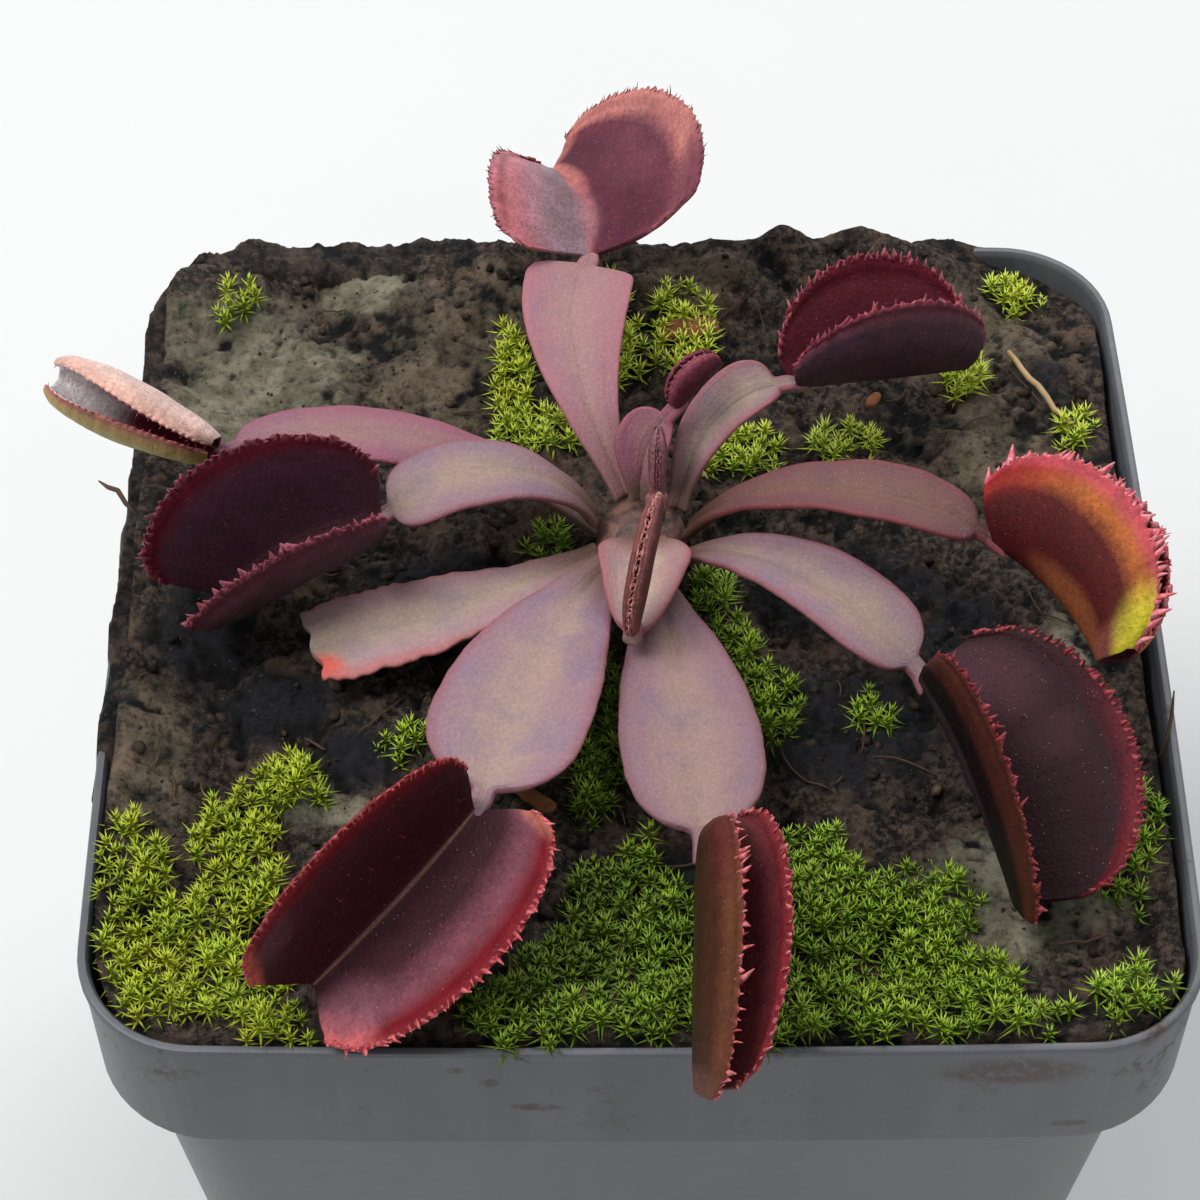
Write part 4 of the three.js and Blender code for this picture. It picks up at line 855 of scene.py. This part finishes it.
YOUNG_LEAVES = [
    dict(name="young_front", length=11.8, headings=(268, 260), pitches=(34, -8), width=7.2, peak=0.34,
         shoulder=1.1, foot=3.2, neck=1.3, neck_length=0.8, channel=20, skin=stalk_young,
         start=(0.3, -2.6, 3.3),
         trap=dict(length=9.8, depth=2.5, headings=(74, 76), pitches=(70, 6), roll=0, flare=0, gap=0.8,
                   cuts=(8, 8), tooth_scale=0.45, tooth_rise=1.5, left=(26, -46, 1, 0),
                   right=(26, -46, 1, 0))),
    dict(name="young_middle", length=2.6, headings=(90, 90), pitches=(86, 88), width=1.7, peak=0.5,
         foot=1.2, neck=1.1, neck_length=0.6, channel=10, skin=stalk_plum, start=(1.1, -0.3, 4.0),
         trap=dict(length=5.4, depth=1.6, headings=(90, 90), pitches=(88, 80), roll=0, flare=0,
                   tooth_scale=0.4, cuts=(6, 6), tooth_rise=1.5, left=(22, -38, 1, 0),
                   right=(22, -38, 1, 0))),
    dict(name="young_back", length=6.8, headings=(86, 30), pitches=(66, 36), width=5.4, peak=0.6,
         foot=1.8, neck=1.3, neck_length=0.6, channel=36, skin=stalk_rosy, start=(-0.1, 2.4, 3.1),
         trap=dict(length=4.6, depth=2.6, headings=(40, 30), pitches=(38, 26), roll=8, flare=0,
                   tooth_scale=0.45, cuts=(10, 10), tooth_rise=1.5, left=(26, -44, 1, 0),
                   right=(26, -44, 1, 0))),
]
for leaf in LEAVES + YOUNG_LEAVES:
    name = leaf["name"]
    bm = blade(stalk_rows(leaf))
    stalk = set_piece(bm, "stalk_blade_" + name, [leaf["skin"]], "stalk_skin", "stalk_" + name)
    thicken(stalk, STALK_THICKNESS, 0)

# ---------------------------------------------------------------- traps
# A trap is the end of the leaf: two lobes on a midrib, with teeth and bristles on their margins
# and trigger hairs on the dark ones. It grew in one piece with its leaf: wine red inside with
# fine glands, a soft grey-mauve bloom outside.
TRAP_THICKNESS, TOOTH_LENGTH = 0.62, 0.6
OUTWARD = (0.1, 0.22, 0.34, 0.46, 0.57, 0.67, 0.75, 0.81, 0.86, 0.9, 0.935, 0.97, 1.0)
TOOTH_STEPS, STEPS_PER_TOOTH, YOUNG_TEETH = 3, 4, 14
MARGIN = 0.72          # where the margin lies between midrib, 0, and tooth tip, 1


def ramp(tree, factor, stops):
    """Colours one after another along a value."""
    made = node(tree, "ValToRGB", {0: factor})
    elements = made.color_ramp.elements
    elements.remove(elements[-1])
    elements[0].position, elements[0].color = stops[0][0], paint(*stops[0][1])
    for spot, colour in stops[1:]:
        elements.new(spot).color = paint(*colour)
    return made.outputs[0]


def trap_rows(trap, start, teeth, seed):
    """Rows across both lobes, from the left teeth over the midrib to the right teeth, and the
    places on each lobe where its bristles and trigger hairs stand."""
    first, last = (math.radians(c) for c in trap.get("cuts", (28, 28)))
    span = math.cos(first) + math.cos(last)
    count = teeth * STEPS_PER_TOOTH
    odd = random.Random(seed)
    size_of = [[odd.choice((0.45, 0.7, 0.85, 1.0)) * odd.uniform(0.85, 1.0) for _ in range(teeth)]
               for _ in range(2)]
    lean_of = [[odd.uniform(-0.35, 0.35) for _ in range(teeth)] for _ in range(2)]
    rows, rims, hairs = [], ([], []), ([], [])
    places = [i / count for i in range(count + 1)]
    midrib = spine(start, trap["length"], trap["headings"], trap["pitches"], trap["roll"], places)
    for point, forward, side, up, t in midrib:
        phi = first + t * (math.pi - first - last)      # the outline is a half circle, ends cut off
        reach = -1 + 2 * (math.cos(first) - math.cos(phi)) / span
        broad = trap["depth"] * math.sin(phi) ** 0.8 * (1 + trap.get("taper", 0) * (0.5 - t))
        broad *= 1 - 0.22 * max(0, 1 - min(t, 1 - t) / 0.1) ** 2      # rounded at both ends
        overhang = trap["length"] * (0.5 + 0.5 * (1 + trap["flare"]) * reach - t)
        at_tooth = min(t * teeth, teeth - 1e-6)
        number = int(at_tooth)
        saw = max(0.0, 1 - abs(2 * (at_tooth - number) - 1) * 1.05) ** 1.2
        sides = []
        for sign, (opening, curl, size, skew) in ((-1, trap["left"]), (1, trap["right"])):
            out, lobe, before = Vector((0, 0, 0)), [], 0.0
            for v in OUTWARD:
                for part in (0.25, 0.75):
                    bend = curl * (before + (v - before) * part)
                    angle = math.radians(opening + trap.get("gape", 0) * t * t + bend)
                    along = up * math.cos(angle) + side * (sign * math.sin(angle))
                    out += along * broad * size * (v - before) / 2
                before = v
                inner = up * math.sin(angle) - side * (sign * math.cos(angle))
                dimple = 0.16 * noise.noise(Vector((t * 5, v * 2.5, seed + sign))) * math.sin(v * math.pi)
                dimple += 0.13 * noise.noise(Vector((t * 22, v * 3, seed + sign))) * v ** 4
                dimple += (0.12 * math.exp(-((v - 0.94) / 0.05) ** 2)
                           - 0.1 * math.exp(-((v - 0.84) / 0.05) ** 2))
                spot = point + out + forward * (overhang * (1 - (1 - v) ** 1.6) + skew * v) + inner * dimple
                thick = (1.0 - 0.55 * v * v) * (0.45 + 0.55 * math.sin(phi))
                lobe.append((spot, 0.5 + sign * 0.5 * MARGIN * v, t, thick))
            outward = (lobe[-1][0] - lobe[-3][0]).normalized()
            point_way = outward + up * trap.get("tooth_rise", 0.5) + forward * lean_of[sign > 0][number]
            point_way.normalize()
            long = TOOTH_LENGTH * trap.get("tooth_scale", 1) * size_of[sign > 0][number]
            root = lobe[-1][0]
            rims[sign > 0].append((root, outward, outward.cross(forward) * sign, forward))
            inwards = (lobe[4][0] - lobe[2][0]).cross(forward).normalized() * sign
            hairs[sign > 0].append((lobe[3][0], inwards))
            for k in range(TOOTH_STEPS):
                v = (k + 1) / TOOTH_STEPS * max(0.05, saw)
                lobe.append((root + point_way * long * v, 0.5 + sign * 0.5 * (MARGIN + (1 - MARGIN) * v), t,
                             0.4 - 0.25 * (k + 1) / TOOTH_STEPS))
            sides.append(lobe)
        rows.append(sides[0][::-1] + [(point, 0.5, t, 1.0)] + sides[1])
    return rows, rims, hairs


def spike(bm, root, aim, bow, long, thick, broad):
    """One pointed bristle that bends towards `bow`; its foot stands inside the margin."""
    made = bmesh.ops.create_cone(bm, cap_ends=True, segments=4, radius1=1, radius2=0.12, depth=1)["verts"]
    upright = [e for e in edges_of(made) if abs(e.verts[0].co.z - e.verts[1].co.z) > 0.5]
    bmesh.ops.subdivide_edges(bm, edges=upright, cuts=1)
    across = aim.cross(bow).normalized()
    for v in [v for v in bm.verts if not v.tag]:
        v.tag = True
        k = v.co.z + 0.5
        flat = across.cross(aim) * v.co.y * thick + across * v.co.x * thick * broad
        v.co = root + flat + aim * (k * long) + bow * (0.5 * k * k * long)


def lobe_finish(name, left, right, patches, specks, gloss):
    """Skin of one face of a trap. A lobe names its colours at the midrib, low, in the middle, in the margin
    band and on the teeth, and where the band begins between midrib, 0, and margin, 1. Its darker low zone
    and lighter middle are partly its own colour and partly painted shade in the hollow of the trap."""
    finish, tree, skin, place = new_finish(name, gloss, 0.16)
    on_leaf = node(tree, "UVMap", uv_map="leaf").outputs[0]
    where = node(tree, "SeparateXYZ", {0: on_leaf}).outputs
    across = sums(tree, "MULTIPLY", sums(tree, "SUBTRACT", where[0], 0.5), 2.0 / MARGIN)
    out = sums(tree, "ABSOLUTE", across)
    cloud = grain(tree, place, 0.5, 4, 0.6)
    fine = grain(tree, place, 2.8, 4, 0.72)
    wobble = sums(tree, "MULTIPLY", sums(tree, "SUBTRACT", fine, 0.5), 0.12)
    wobbled = sums(tree, "MULTIPLY", sums(tree, "MULTIPLY", out, sums(tree, "ADD", wobble, 1.0)), MARGIN)
    lobes = []
    for rib, low, middle, band, tooth, edge in (left, right):
        # The darker low zone by the midrib and the lighter middle are partly the lobe's own colour and
        # partly painted shade in the hollow of the trap.
        stops = [(0, rib), (0.012, rib), (0.028, low), (edge * 0.5, low), (edge * 0.82, middle),
                 (edge * 0.88, middle), (edge * 1.07, band), (1.12, band), (1.3, tooth),
                 (1 / MARGIN, tooth)]
        lobes.append(ramp(tree, wobbled, [(spot * MARGIN, colour) for spot, colour in stops]))
    colour = blend(tree, sums(tree, "GREATER_THAN", across, 0.0), *lobes)
    colour = patches_on(tree, colour, across, where[1], patches)
    dim = blend(tree, 0.22, colour, paint(16, 8, 12))
    colour = blend(tree, between(tree, cloud, 0.36, 0.66), dim, colour)
    dim = blend(tree, 0.3, colour, paint(24, 10, 14))
    colour = blend(tree, between(tree, fine, 0.36, 0.66), dim, colour)
    dots = node(tree, "TexVoronoi", {"Vector": place, "Scale": 2.7}).outputs[0]
    groups = between(tree, grain(tree, place, 0.7), 0.47, 0.6)
    spots = sums(tree, "MULTIPLY", between(tree, dots, 0.16, 0.07), groups)
    colour = blend(tree, sums(tree, "MULTIPLY", spots, specks), colour, paint(206, 160, 140))
    wear(skin, tree, colour)
    lines = node(tree, "Mapping", {0: on_leaf, 3: (1.5, 22, 1)}).outputs[0]
    ribs = node(tree, "TexNoise", {"Vector": lines, "Scale": 1.0, "Detail": 2.0}).outputs[0]
    under = roughen(tree, skin, ribs, 0.12)
    under = roughen(tree, skin, between(tree, dots, 0.3, 0.05), 0.04, under)
    roughen(tree, skin, grain(tree, place, 4, 4, 0.75), 0.09, under)
    return finish


# Each trap: left and right lobe inside, left and right lobe outside, then patches inside and outside.
TRAP_LOOKS = {
    "back": (((170, 100, 106), (156, 132, 142), (192, 138, 148), (208, 130, 138), (170, 96, 100), 0.66),
             ((150, 84, 92), (96, 42, 60), (112, 52, 68), (212, 134, 126), (170, 92, 88), 0.78),
             ((150, 92, 98), (150, 92, 100), (164, 104, 112), (184, 110, 112), (150, 84, 84), 0.8),
             ((140, 84, 90), (140, 80, 88), (160, 96, 100), (184, 106, 106), (150, 84, 84), 0.8),
             ((1, 0.0, 0.85, 0.16, 0.5, (202, 122, 116), 0.95),
              (1, 0.5, 1.06, 0.7, 0.16, (208, 124, 116), 0.95),
              (1, 1.0, 0.12, 0.42, 0.26, (126, 62, 80), 0.95),
              (1, 0.0, 0.35, 0.1, 0.4, (176, 96, 98), 0.9),
              (1, 0.55, 0.5, 0.4, 0.25, (120, 62, 80), 0.7),
              (-1, 0.95, 0.2, 0.25, 0.35, (214, 122, 130), 0.7),
              (-1, 0.2, 0.3, 0.35, 0.4, (150, 118, 128), 0.7)), ()),
    "left": (((80, 40, 46), (88, 54, 68), (96, 56, 70), (128, 36, 54), (166, 78, 92), 0.84),
             ((80, 40, 46), (94, 58, 72), (100, 60, 76), (128, 36, 54), (166, 78, 92), 0.84),
             ((66, 40, 48), (68, 48, 58), (84, 58, 68), (104, 50, 64), (170, 84, 98), 0.9),
             ((50, 26, 32), (48, 30, 40), (58, 34, 44), (96, 40, 54), (160, 74, 88), 0.88), (), ()),
    "far_left": (((150, 90, 86), (96, 30, 40), (110, 36, 46), (160, 70, 78), (190, 116, 112), 0.86),
                 ((150, 90, 86), (96, 30, 40), (110, 36, 46), (160, 70, 78), (190, 116, 112), 0.86),
                 ((160, 140, 90), (186, 172, 104), (188, 168, 100), (176, 108, 96), (176, 96, 96), 0.93),
                 ((238, 212, 208), (246, 216, 214), (246, 210, 198), (232, 182, 164), (176, 104, 108), 0.88),
                 ((-1, 0.5, 0.95, 1.1, 0.5, (240, 228, 228), 1.0),
                  (1, 0.5, 0.95, 1.1, 0.5, (240, 228, 228), 1.0)), ()),
    # front_left: the lighter dusty-mauve middle of the left lobe inside, and the mauve patch near its tip,
    # are partly bloom and partly painted sheen.
    "front_left": (((130, 90, 74), (64, 30, 36), (126, 70, 83), (122, 26, 35), (190, 80, 86), 0.8),
                   ((120, 84, 70), (66, 23, 30), (76, 29, 36), (130, 30, 36), (190, 76, 76), 0.87),
                   ((90, 50, 50), (66, 36, 42), (80, 44, 52), (120, 44, 52), (180, 80, 84), 0.88),
                   ((90, 50, 50), (66, 36, 42), (80, 44, 52), (120, 44, 52), (180, 80, 84), 0.88),
                   ((-1, 0.8, 1.0, 0.45, 0.2, (220, 112, 116), 0.9),
                    (-1, 0.95, 0.0, 0.35, 0.12, (186, 112, 96), 0.85),
                    (-1, 0.5, 0.9, 0.4, 0.2, (136, 84, 98), 0.7),
                    (1, 0.95, 1.0, 0.3, 0.14, (204, 96, 84), 0.9),
                    (1, 0.75, 0.84, 0.22, 0.14, (104, 60, 72), 0.6)), ()),
    "front": (((90, 44, 40), (102, 44, 47), (112, 49, 53), (138, 44, 52), (190, 90, 98), 0.9),
              ((90, 44, 40), (90, 28, 34), (100, 32, 38), (136, 42, 50), (196, 92, 100), 0.9),
              ((72, 44, 34), (72, 34, 34), (84, 38, 38), (110, 48, 46), (150, 62, 64), 0.84),
              ((62, 40, 24), (62, 37, 24), (76, 42, 28), (104, 58, 34), (150, 62, 64), 0.84),
              (),
              ((1, 0.5, 1.0, 0.7, 0.12, (126, 82, 70), 0.6), (1, 0.85, 0.15, 0.25, 0.3, (96, 34, 36), 0.7),
               (1, 0.3, 0.4, 0.2, 0.5, (70, 50, 28), 0.6))),
    # front_right: inside the big left lobe, the first patch and the narrow mauve streak are painted sheen,
    # and the dark patch at the top margin is painted shade.
    "front_right": (((66, 34, 38), (42, 8, 16), (42, 8, 16), (96, 20, 32), (150, 52, 60), 0.93),
                    ((60, 28, 32), (44, 13, 21), (52, 16, 25), (100, 28, 36), (150, 52, 60), 0.89),
                    ((40, 24, 28), (30, 18, 24), (44, 24, 30), (88, 36, 34), (160, 66, 70), 0.86),
                    ((40, 24, 28), (14, 6, 12), (22, 9, 14), (80, 36, 28), (150, 54, 56), 0.68),
                    ((-1, 0.5, 0.16, 0.4, 0.24, (100, 54, 70), 0.45),
                     (-1, 0.97, 0.86, 0.16, 0.3, (112, 24, 36), 0.85),
                     (-1, 0.55, 0.45, 0.3, 0.1, (80, 42, 56), 0.35),
                     (-1, 1.0, 0.1, 0.3, 0.4, (44, 12, 18), 0.9),
                     (1, 0.4, 0.2, 0.4, 0.3, (100, 70, 84), 0.5)),
                    ((1, 0.2, 0.3, 0.14, 0.5, (90, 68, 78), 0.5),)),
    "right": (((90, 34, 32), (72, 22, 26), (84, 28, 30), (150, 60, 48), (206, 96, 108), 0.86),
              ((90, 34, 32), (72, 22, 26), (84, 28, 30), (150, 60, 48), (206, 96, 108), 0.86),
              ((90, 40, 36), (80, 30, 30), (104, 44, 36), (180, 100, 50), (206, 96, 108), 0.8),
              ((72, 22, 18), (76, 14, 14), (92, 25, 22), (182, 98, 44), (206, 96, 108), 0.74),
              (),
              ((1, 0.12, 0.72, 0.22, 0.5, (160, 92, 52), 0.65),
               (1, 0.4, 0.97, 0.5, 0.15, (150, 84, 74), 0.7),
               (1, 0.95, 0.0, 0.42, 0.42, (160, 32, 38), 0.95),
               (1, 1.03, 0.45, 0.2, 0.85, (196, 76, 88), 0.95),
               (1, 0.84, 1.0, 0.5, 0.26, (218, 206, 52), 0.95))),
    "back_right": (((90, 40, 44), (95, 32, 46), (112, 41, 55), (118, 32, 46), (170, 70, 86), 0.88),
                   ((90, 40, 44), (90, 26, 40), (108, 36, 50), (118, 32, 46), (170, 70, 86), 0.88),
                   ((80, 40, 50), (80, 46, 58), (92, 58, 72), (112, 46, 60), (170, 70, 86), 0.92),
                   ((80, 40, 50), (86, 55, 67), (96, 67, 79), (114, 50, 64), (170, 70, 86), 0.92), (), ()),
    "young_front": (((130, 86, 78), (90, 44, 48), (110, 60, 60), (150, 88, 84), (196, 134, 124), 0.8),) * 2
    + (((120, 76, 72), (108, 64, 64), (112, 66, 66), (140, 84, 80), (196, 134, 124), 0.84),) * 2 + ((), ()),
    "young_middle": (((120, 80, 84), (118, 82, 92), (134, 92, 102), (150, 100, 106), (170, 110, 112),
                      0.8),) * 4 + ((), ()),
    "young_back": (((70, 26, 36), (58, 20, 30), (66, 24, 34), (110, 46, 60), (150, 80, 92), 0.8),) * 2
    + (((96, 44, 54), (88, 34, 46), (104, 44, 58), (150, 74, 90), (176, 96, 108), 0.8),) * 2 + ((), ()),
}
# Bristles on each trap's margins: how far apart, how long on the left and on the right, how
# thick, how many times as broad as thick, and their colours.
BRISTLES = {
    "back": (0.42, (0.66, 0.64), 0.08, 1.0, (110, 46, 54), (76, 38, 44)),
    "left": (0.7, (0.9, 1.0), 0.16, 3.3, (110, 40, 54), (158, 84, 98)),
    "far_left": (0.8, (0.4, 0.4), 0.07, 1.0, (150, 84, 90), (130, 70, 80)),
    "front_left": (0.55, (0.95, 0.7), 0.12, 2.6, (150, 44, 54), (206, 108, 108)),
    "front": (0.75, (0.7, 1.1), 0.13, 2.6, (150, 50, 56), (214, 126, 124)),
    "front_right": (0.55, (0.6, 1.3), 0.13, 2.6, (104, 27, 36), (168, 72, 76)),
    "right": (0.42, (0.7, 1.3), 0.16, 2.6, (200, 84, 98), (228, 146, 152)),
    "back_right": (0.55, (0.85, 0.85), 0.14, 2.6, (122, 40, 56), (184, 100, 112)),
    "young_front": (0.4, (0.25, 0.25), 0.12, 2.6, (150, 92, 88), (206, 150, 140)),
    "young_middle": (0.6, (0.2, 0.2), 0.08, 1.0, (150, 92, 88), (190, 130, 130)),
    "young_back": (0.6, (0.25, 0.25), 0.09, 1.0, (140, 70, 84), (180, 110, 120)),
}
BRISTLE_FOOT = 0.2                      # how far a bristle starts inside the margin
BRISTLE_SHARES = (0.35, 0.5, 0.75, 1.0)
TRIGGER_HAIRS = (0.36, 0.5, 0.64)       # where the three stand along a lobe
HAIR_LENGTH, HAIR_THICKNESS, HAIR_BEND = 0.6, 0.045, Vector((0.1, 0.1, 0.3))


def grow_bristles(bm, rim, longest, apart, thick, broad, inward, odd):
    """Bristles along one margin, uneven in length and spacing, that lean and bend inwards."""
    gone, due = 0.0, apart * 0.4
    for near, far in zip(rim, rim[1:]):
        step = (far[0] - near[0]).length
        while gone + step > due:
            k = (due - gone) / step
            root, outward, inner, forward = (a.lerp(b, k) for a, b in zip(near, far))
            aim = outward + inner * odd.uniform(-0.1, inward) + forward * odd.uniform(-0.5, 0.5)
            size = longest * odd.choice(BRISTLE_SHARES) * odd.uniform(0.85, 1.15)
            bow = inner * odd.uniform(0.15, 0.6) + forward * odd.uniform(-0.4, 0.4)
            spike(bm, root - outward * BRISTLE_FOOT - inner * 0.06, aim.normalized(), bow,
                  size + BRISTLE_FOOT, thick * odd.uniform(0.7, 1.15), broad)
            due += apart * odd.uniform(0.55, 1.45)
        gone += step


for count, leaf in enumerate(LEAVES + YOUNG_LEAVES):
    if "trap" not in leaf:
        continue
    name, trap = leaf["name"], leaf["trap"]
    in_left, in_right, out_left, out_right, marks_in, marks_out = TRAP_LOOKS[name]
    young = name.startswith("young")
    teeth = YOUNG_TEETH if young else trap["teeth"]
    rows, rims, hairs = trap_rows(trap, trap_start(leaf), teeth, 100 + count)
    finishes = [lobe_finish("trap_inside_" + name, in_left, in_right, marks_in, 0.5, 0.42),
                lobe_finish("trap_outside_" + name, out_left, out_right, marks_out, 0.3, 0.5)]
    slot = "pale_trap_skin" if name in ("back", "far_left", "right") else "trap_skin"
    lobes = set_piece(blade(rows), "trap_lobes_" + name, finishes, slot, "trap_" + name)
    thicken(lobes, TRAP_THICKNESS, -1, 1)

    apart, long, thick, broad, one_colour, other_colour = BRISTLES[name]
    inward = 0.25 + 0.2 * trap.get("tooth_rise", 0.5)
    odd = random.Random(500 + count)
    bm = bmesh.new()
    for rim, longest in zip(rims, long):
        grow_bristles(bm, rim, longest, apart, thick, broad, inward, odd)
    if slot == "trap_skin" and not young:
        for lobe in hairs:
            for t in TRIGGER_HAIRS:
                root, inner = lobe[int(t * (len(lobe) - 1))]
                spike(bm, root, inner, HAIR_BEND, HAIR_LENGTH, HAIR_THICKNESS, 1.0)
    bmesh.ops.recalc_face_normals(bm, faces=bm.faces)
    bristle, tree, skin, place = new_finish("trap_bristles_" + name, 0.45, 0.3)
    mottle = between(tree, grain(tree, place, 1.6, 4, 0.7), 0.36, 0.64)
    wear(skin, tree, blend(tree, mottle, paint(*one_colour), paint(*other_colour)))
    set_piece(bm, "trap_bristles_" + name, [bristle], slot)

# ---------------------------------------------------------------- star moss
# Haircap moss grows on the peat in cushions. Each shoot is a stem with narrow pointed leaves
# that spread like a star when moist: lime green on top, darker and browner lower down.
moss_leaf, tree, skin, place = new_finish("moss_leaf", 0.5, 0.4)
tone = node(tree, "SeparateColor", {0: node(tree, "VertexColor", layer_name="growth").outputs[0]}).outputs
green = blend(tree, between(tree, tone[0], 0.0, 0.75), paint(72, 102, 18), paint(150, 190, 40))
green = blend(tree, between(tree, tone[0], 0.6, 1.0), green, paint(206, 228, 92))
green = blend(tree, sums(tree, "MULTIPLY", tone[1], 0.6), green, paint(216, 220, 52))
mottle = between(tree, grain(tree, place, 2.2, 3), 0.3, 0.7)
green = blend(tree, mottle, blend(tree, 0.2, green, paint(40, 62, 14)), green)
wear(skin, tree, green)
SHOOT_PITCH, SHOOT_DEPTH = 1.02, 2.0    # how far apart, how deep in the cushion a shoot starts
NEEDLES, NEEDLE_WIDTH, NEEDLE_DEPTH, DROOP = 16, 0.135, 0.07, 0.14
MOSS_HALF = 37.9                        # no shoot spreads further than this to either side


def moss_shoot(bm, growth, foot, tall, wide, turn, yellow, bright, odd):
    """One shoot: closed needle leaves in a spiral, steeper towards the top."""
    for k in range(NEEDLES):
        level = k / (NEEDLES - 1)
        bearing = turn + k * 2.4
        steep = math.radians(14 + 64 * level ** 1.2 + odd.uniform(-14, 14))
        long = wide * (1.05 - 0.4 * level) * odd.uniform(0.85, 1.12)
        aim = Vector((math.cos(bearing) * math.cos(steep), math.sin(bearing) * math.cos(steep),
                      math.sin(steep)))
        root = foot + Vector((0, 0, tall * (0.3 + 0.6 * level)))
        side = Vector((-math.sin(bearing), math.cos(bearing), 0))
        needle = bmesh.ops.create_cone(bm, cap_ends=True, segments=3, radius1=1, radius2=0,
                                       depth=1)["verts"]
        turned = Matrix((side, side.cross(aim), aim)).transposed()
        for v in needle:
            tip = v.co.z > 0
            flat = Vector((v.co.x * NEEDLE_WIDTH, v.co.y * NEEDLE_DEPTH, (v.co.z + 0.5) * long))
            v.co = root + turned @ flat - Vector((0, 0, DROOP * long * tip))
            v[growth] = ((1.0 if tip else 0.4) * (0.45 + 0.55 * level) * bright, yellow, 0, 1)


for node_name in sorted(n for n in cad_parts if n.startswith("moss_")):
    cushion = bmesh.new()
    cushion.from_mesh(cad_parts[node_name].data)
    cushion.transform(Matrix.Scale(1 / MM, 4))
    felt = BVHTree.FromBMesh(cushion)
    low, high = (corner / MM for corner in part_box(node_name))
    cushion.free()
    odd = random.Random(len(node_name) * 31 + int(low.x * 7))
    bm = bmesh.new()
    grown = bpy.data.meshes.new("shoot")
    row, y = 0, low.y
    while y < high.y:
        x = low.x + (row % 2) * SHOOT_PITCH / 2
        while x < high.x:
            px, py = x + odd.uniform(-0.4, 0.4), y + odd.uniform(-0.4, 0.4)
            hit = felt.ray_cast(Vector((px, py, 100)), Vector((0, 0, -1)))[0]
            clump = 0.5 + 0.9 * noise.noise(Vector((px, py, 2)) * 0.32)
            wide = odd.uniform(1.0, 1.5) + 0.5 * clump
            if hit and abs(px) + 1.1 * wide < MOSS_HALF:
                yellow = max(rise((py - 8) / 14), rise((-12 - px) / 12)) * odd.uniform(0.3, 1)
                yellow = min(1, yellow + 0.2 * odd.random())
                lit = odd.uniform(0.5, 0.8) + 0.5 * clump
                lit *= 1 - 0.6 * heap(px, py, -4, -28, 13)
                lit *= 1 - 0.3 * rise((-16 - px) / 6)
                lit *= (1 + 1.1 * rise((py - 6) / 8)) * (1 - 0.6 * heap(px, py, -27, 31, 5))
                shoot = bmesh.new()
                growth = shoot.verts.layers.float_color.new("growth")
                foot = Vector((px, py, hit.z - SHOOT_DEPTH))
                moss_shoot(shoot, growth, foot, 1.5 + 1.3 * clump, wide, odd.uniform(0, 6.3),
                           yellow, lit, odd)
                shoot.to_mesh(grown)
                shoot.free()
                bm.from_mesh(grown)
            x += SHOOT_PITCH
        y += SHOOT_PITCH * 0.87
        row += 1
    bpy.data.meshes.remove(grown)
    bmesh.ops.recalc_face_normals(bm, faces=bm.faces)
    set_piece(bm, node_name.replace("moss", "star_moss"), [moss_leaf], "moss", node_name)
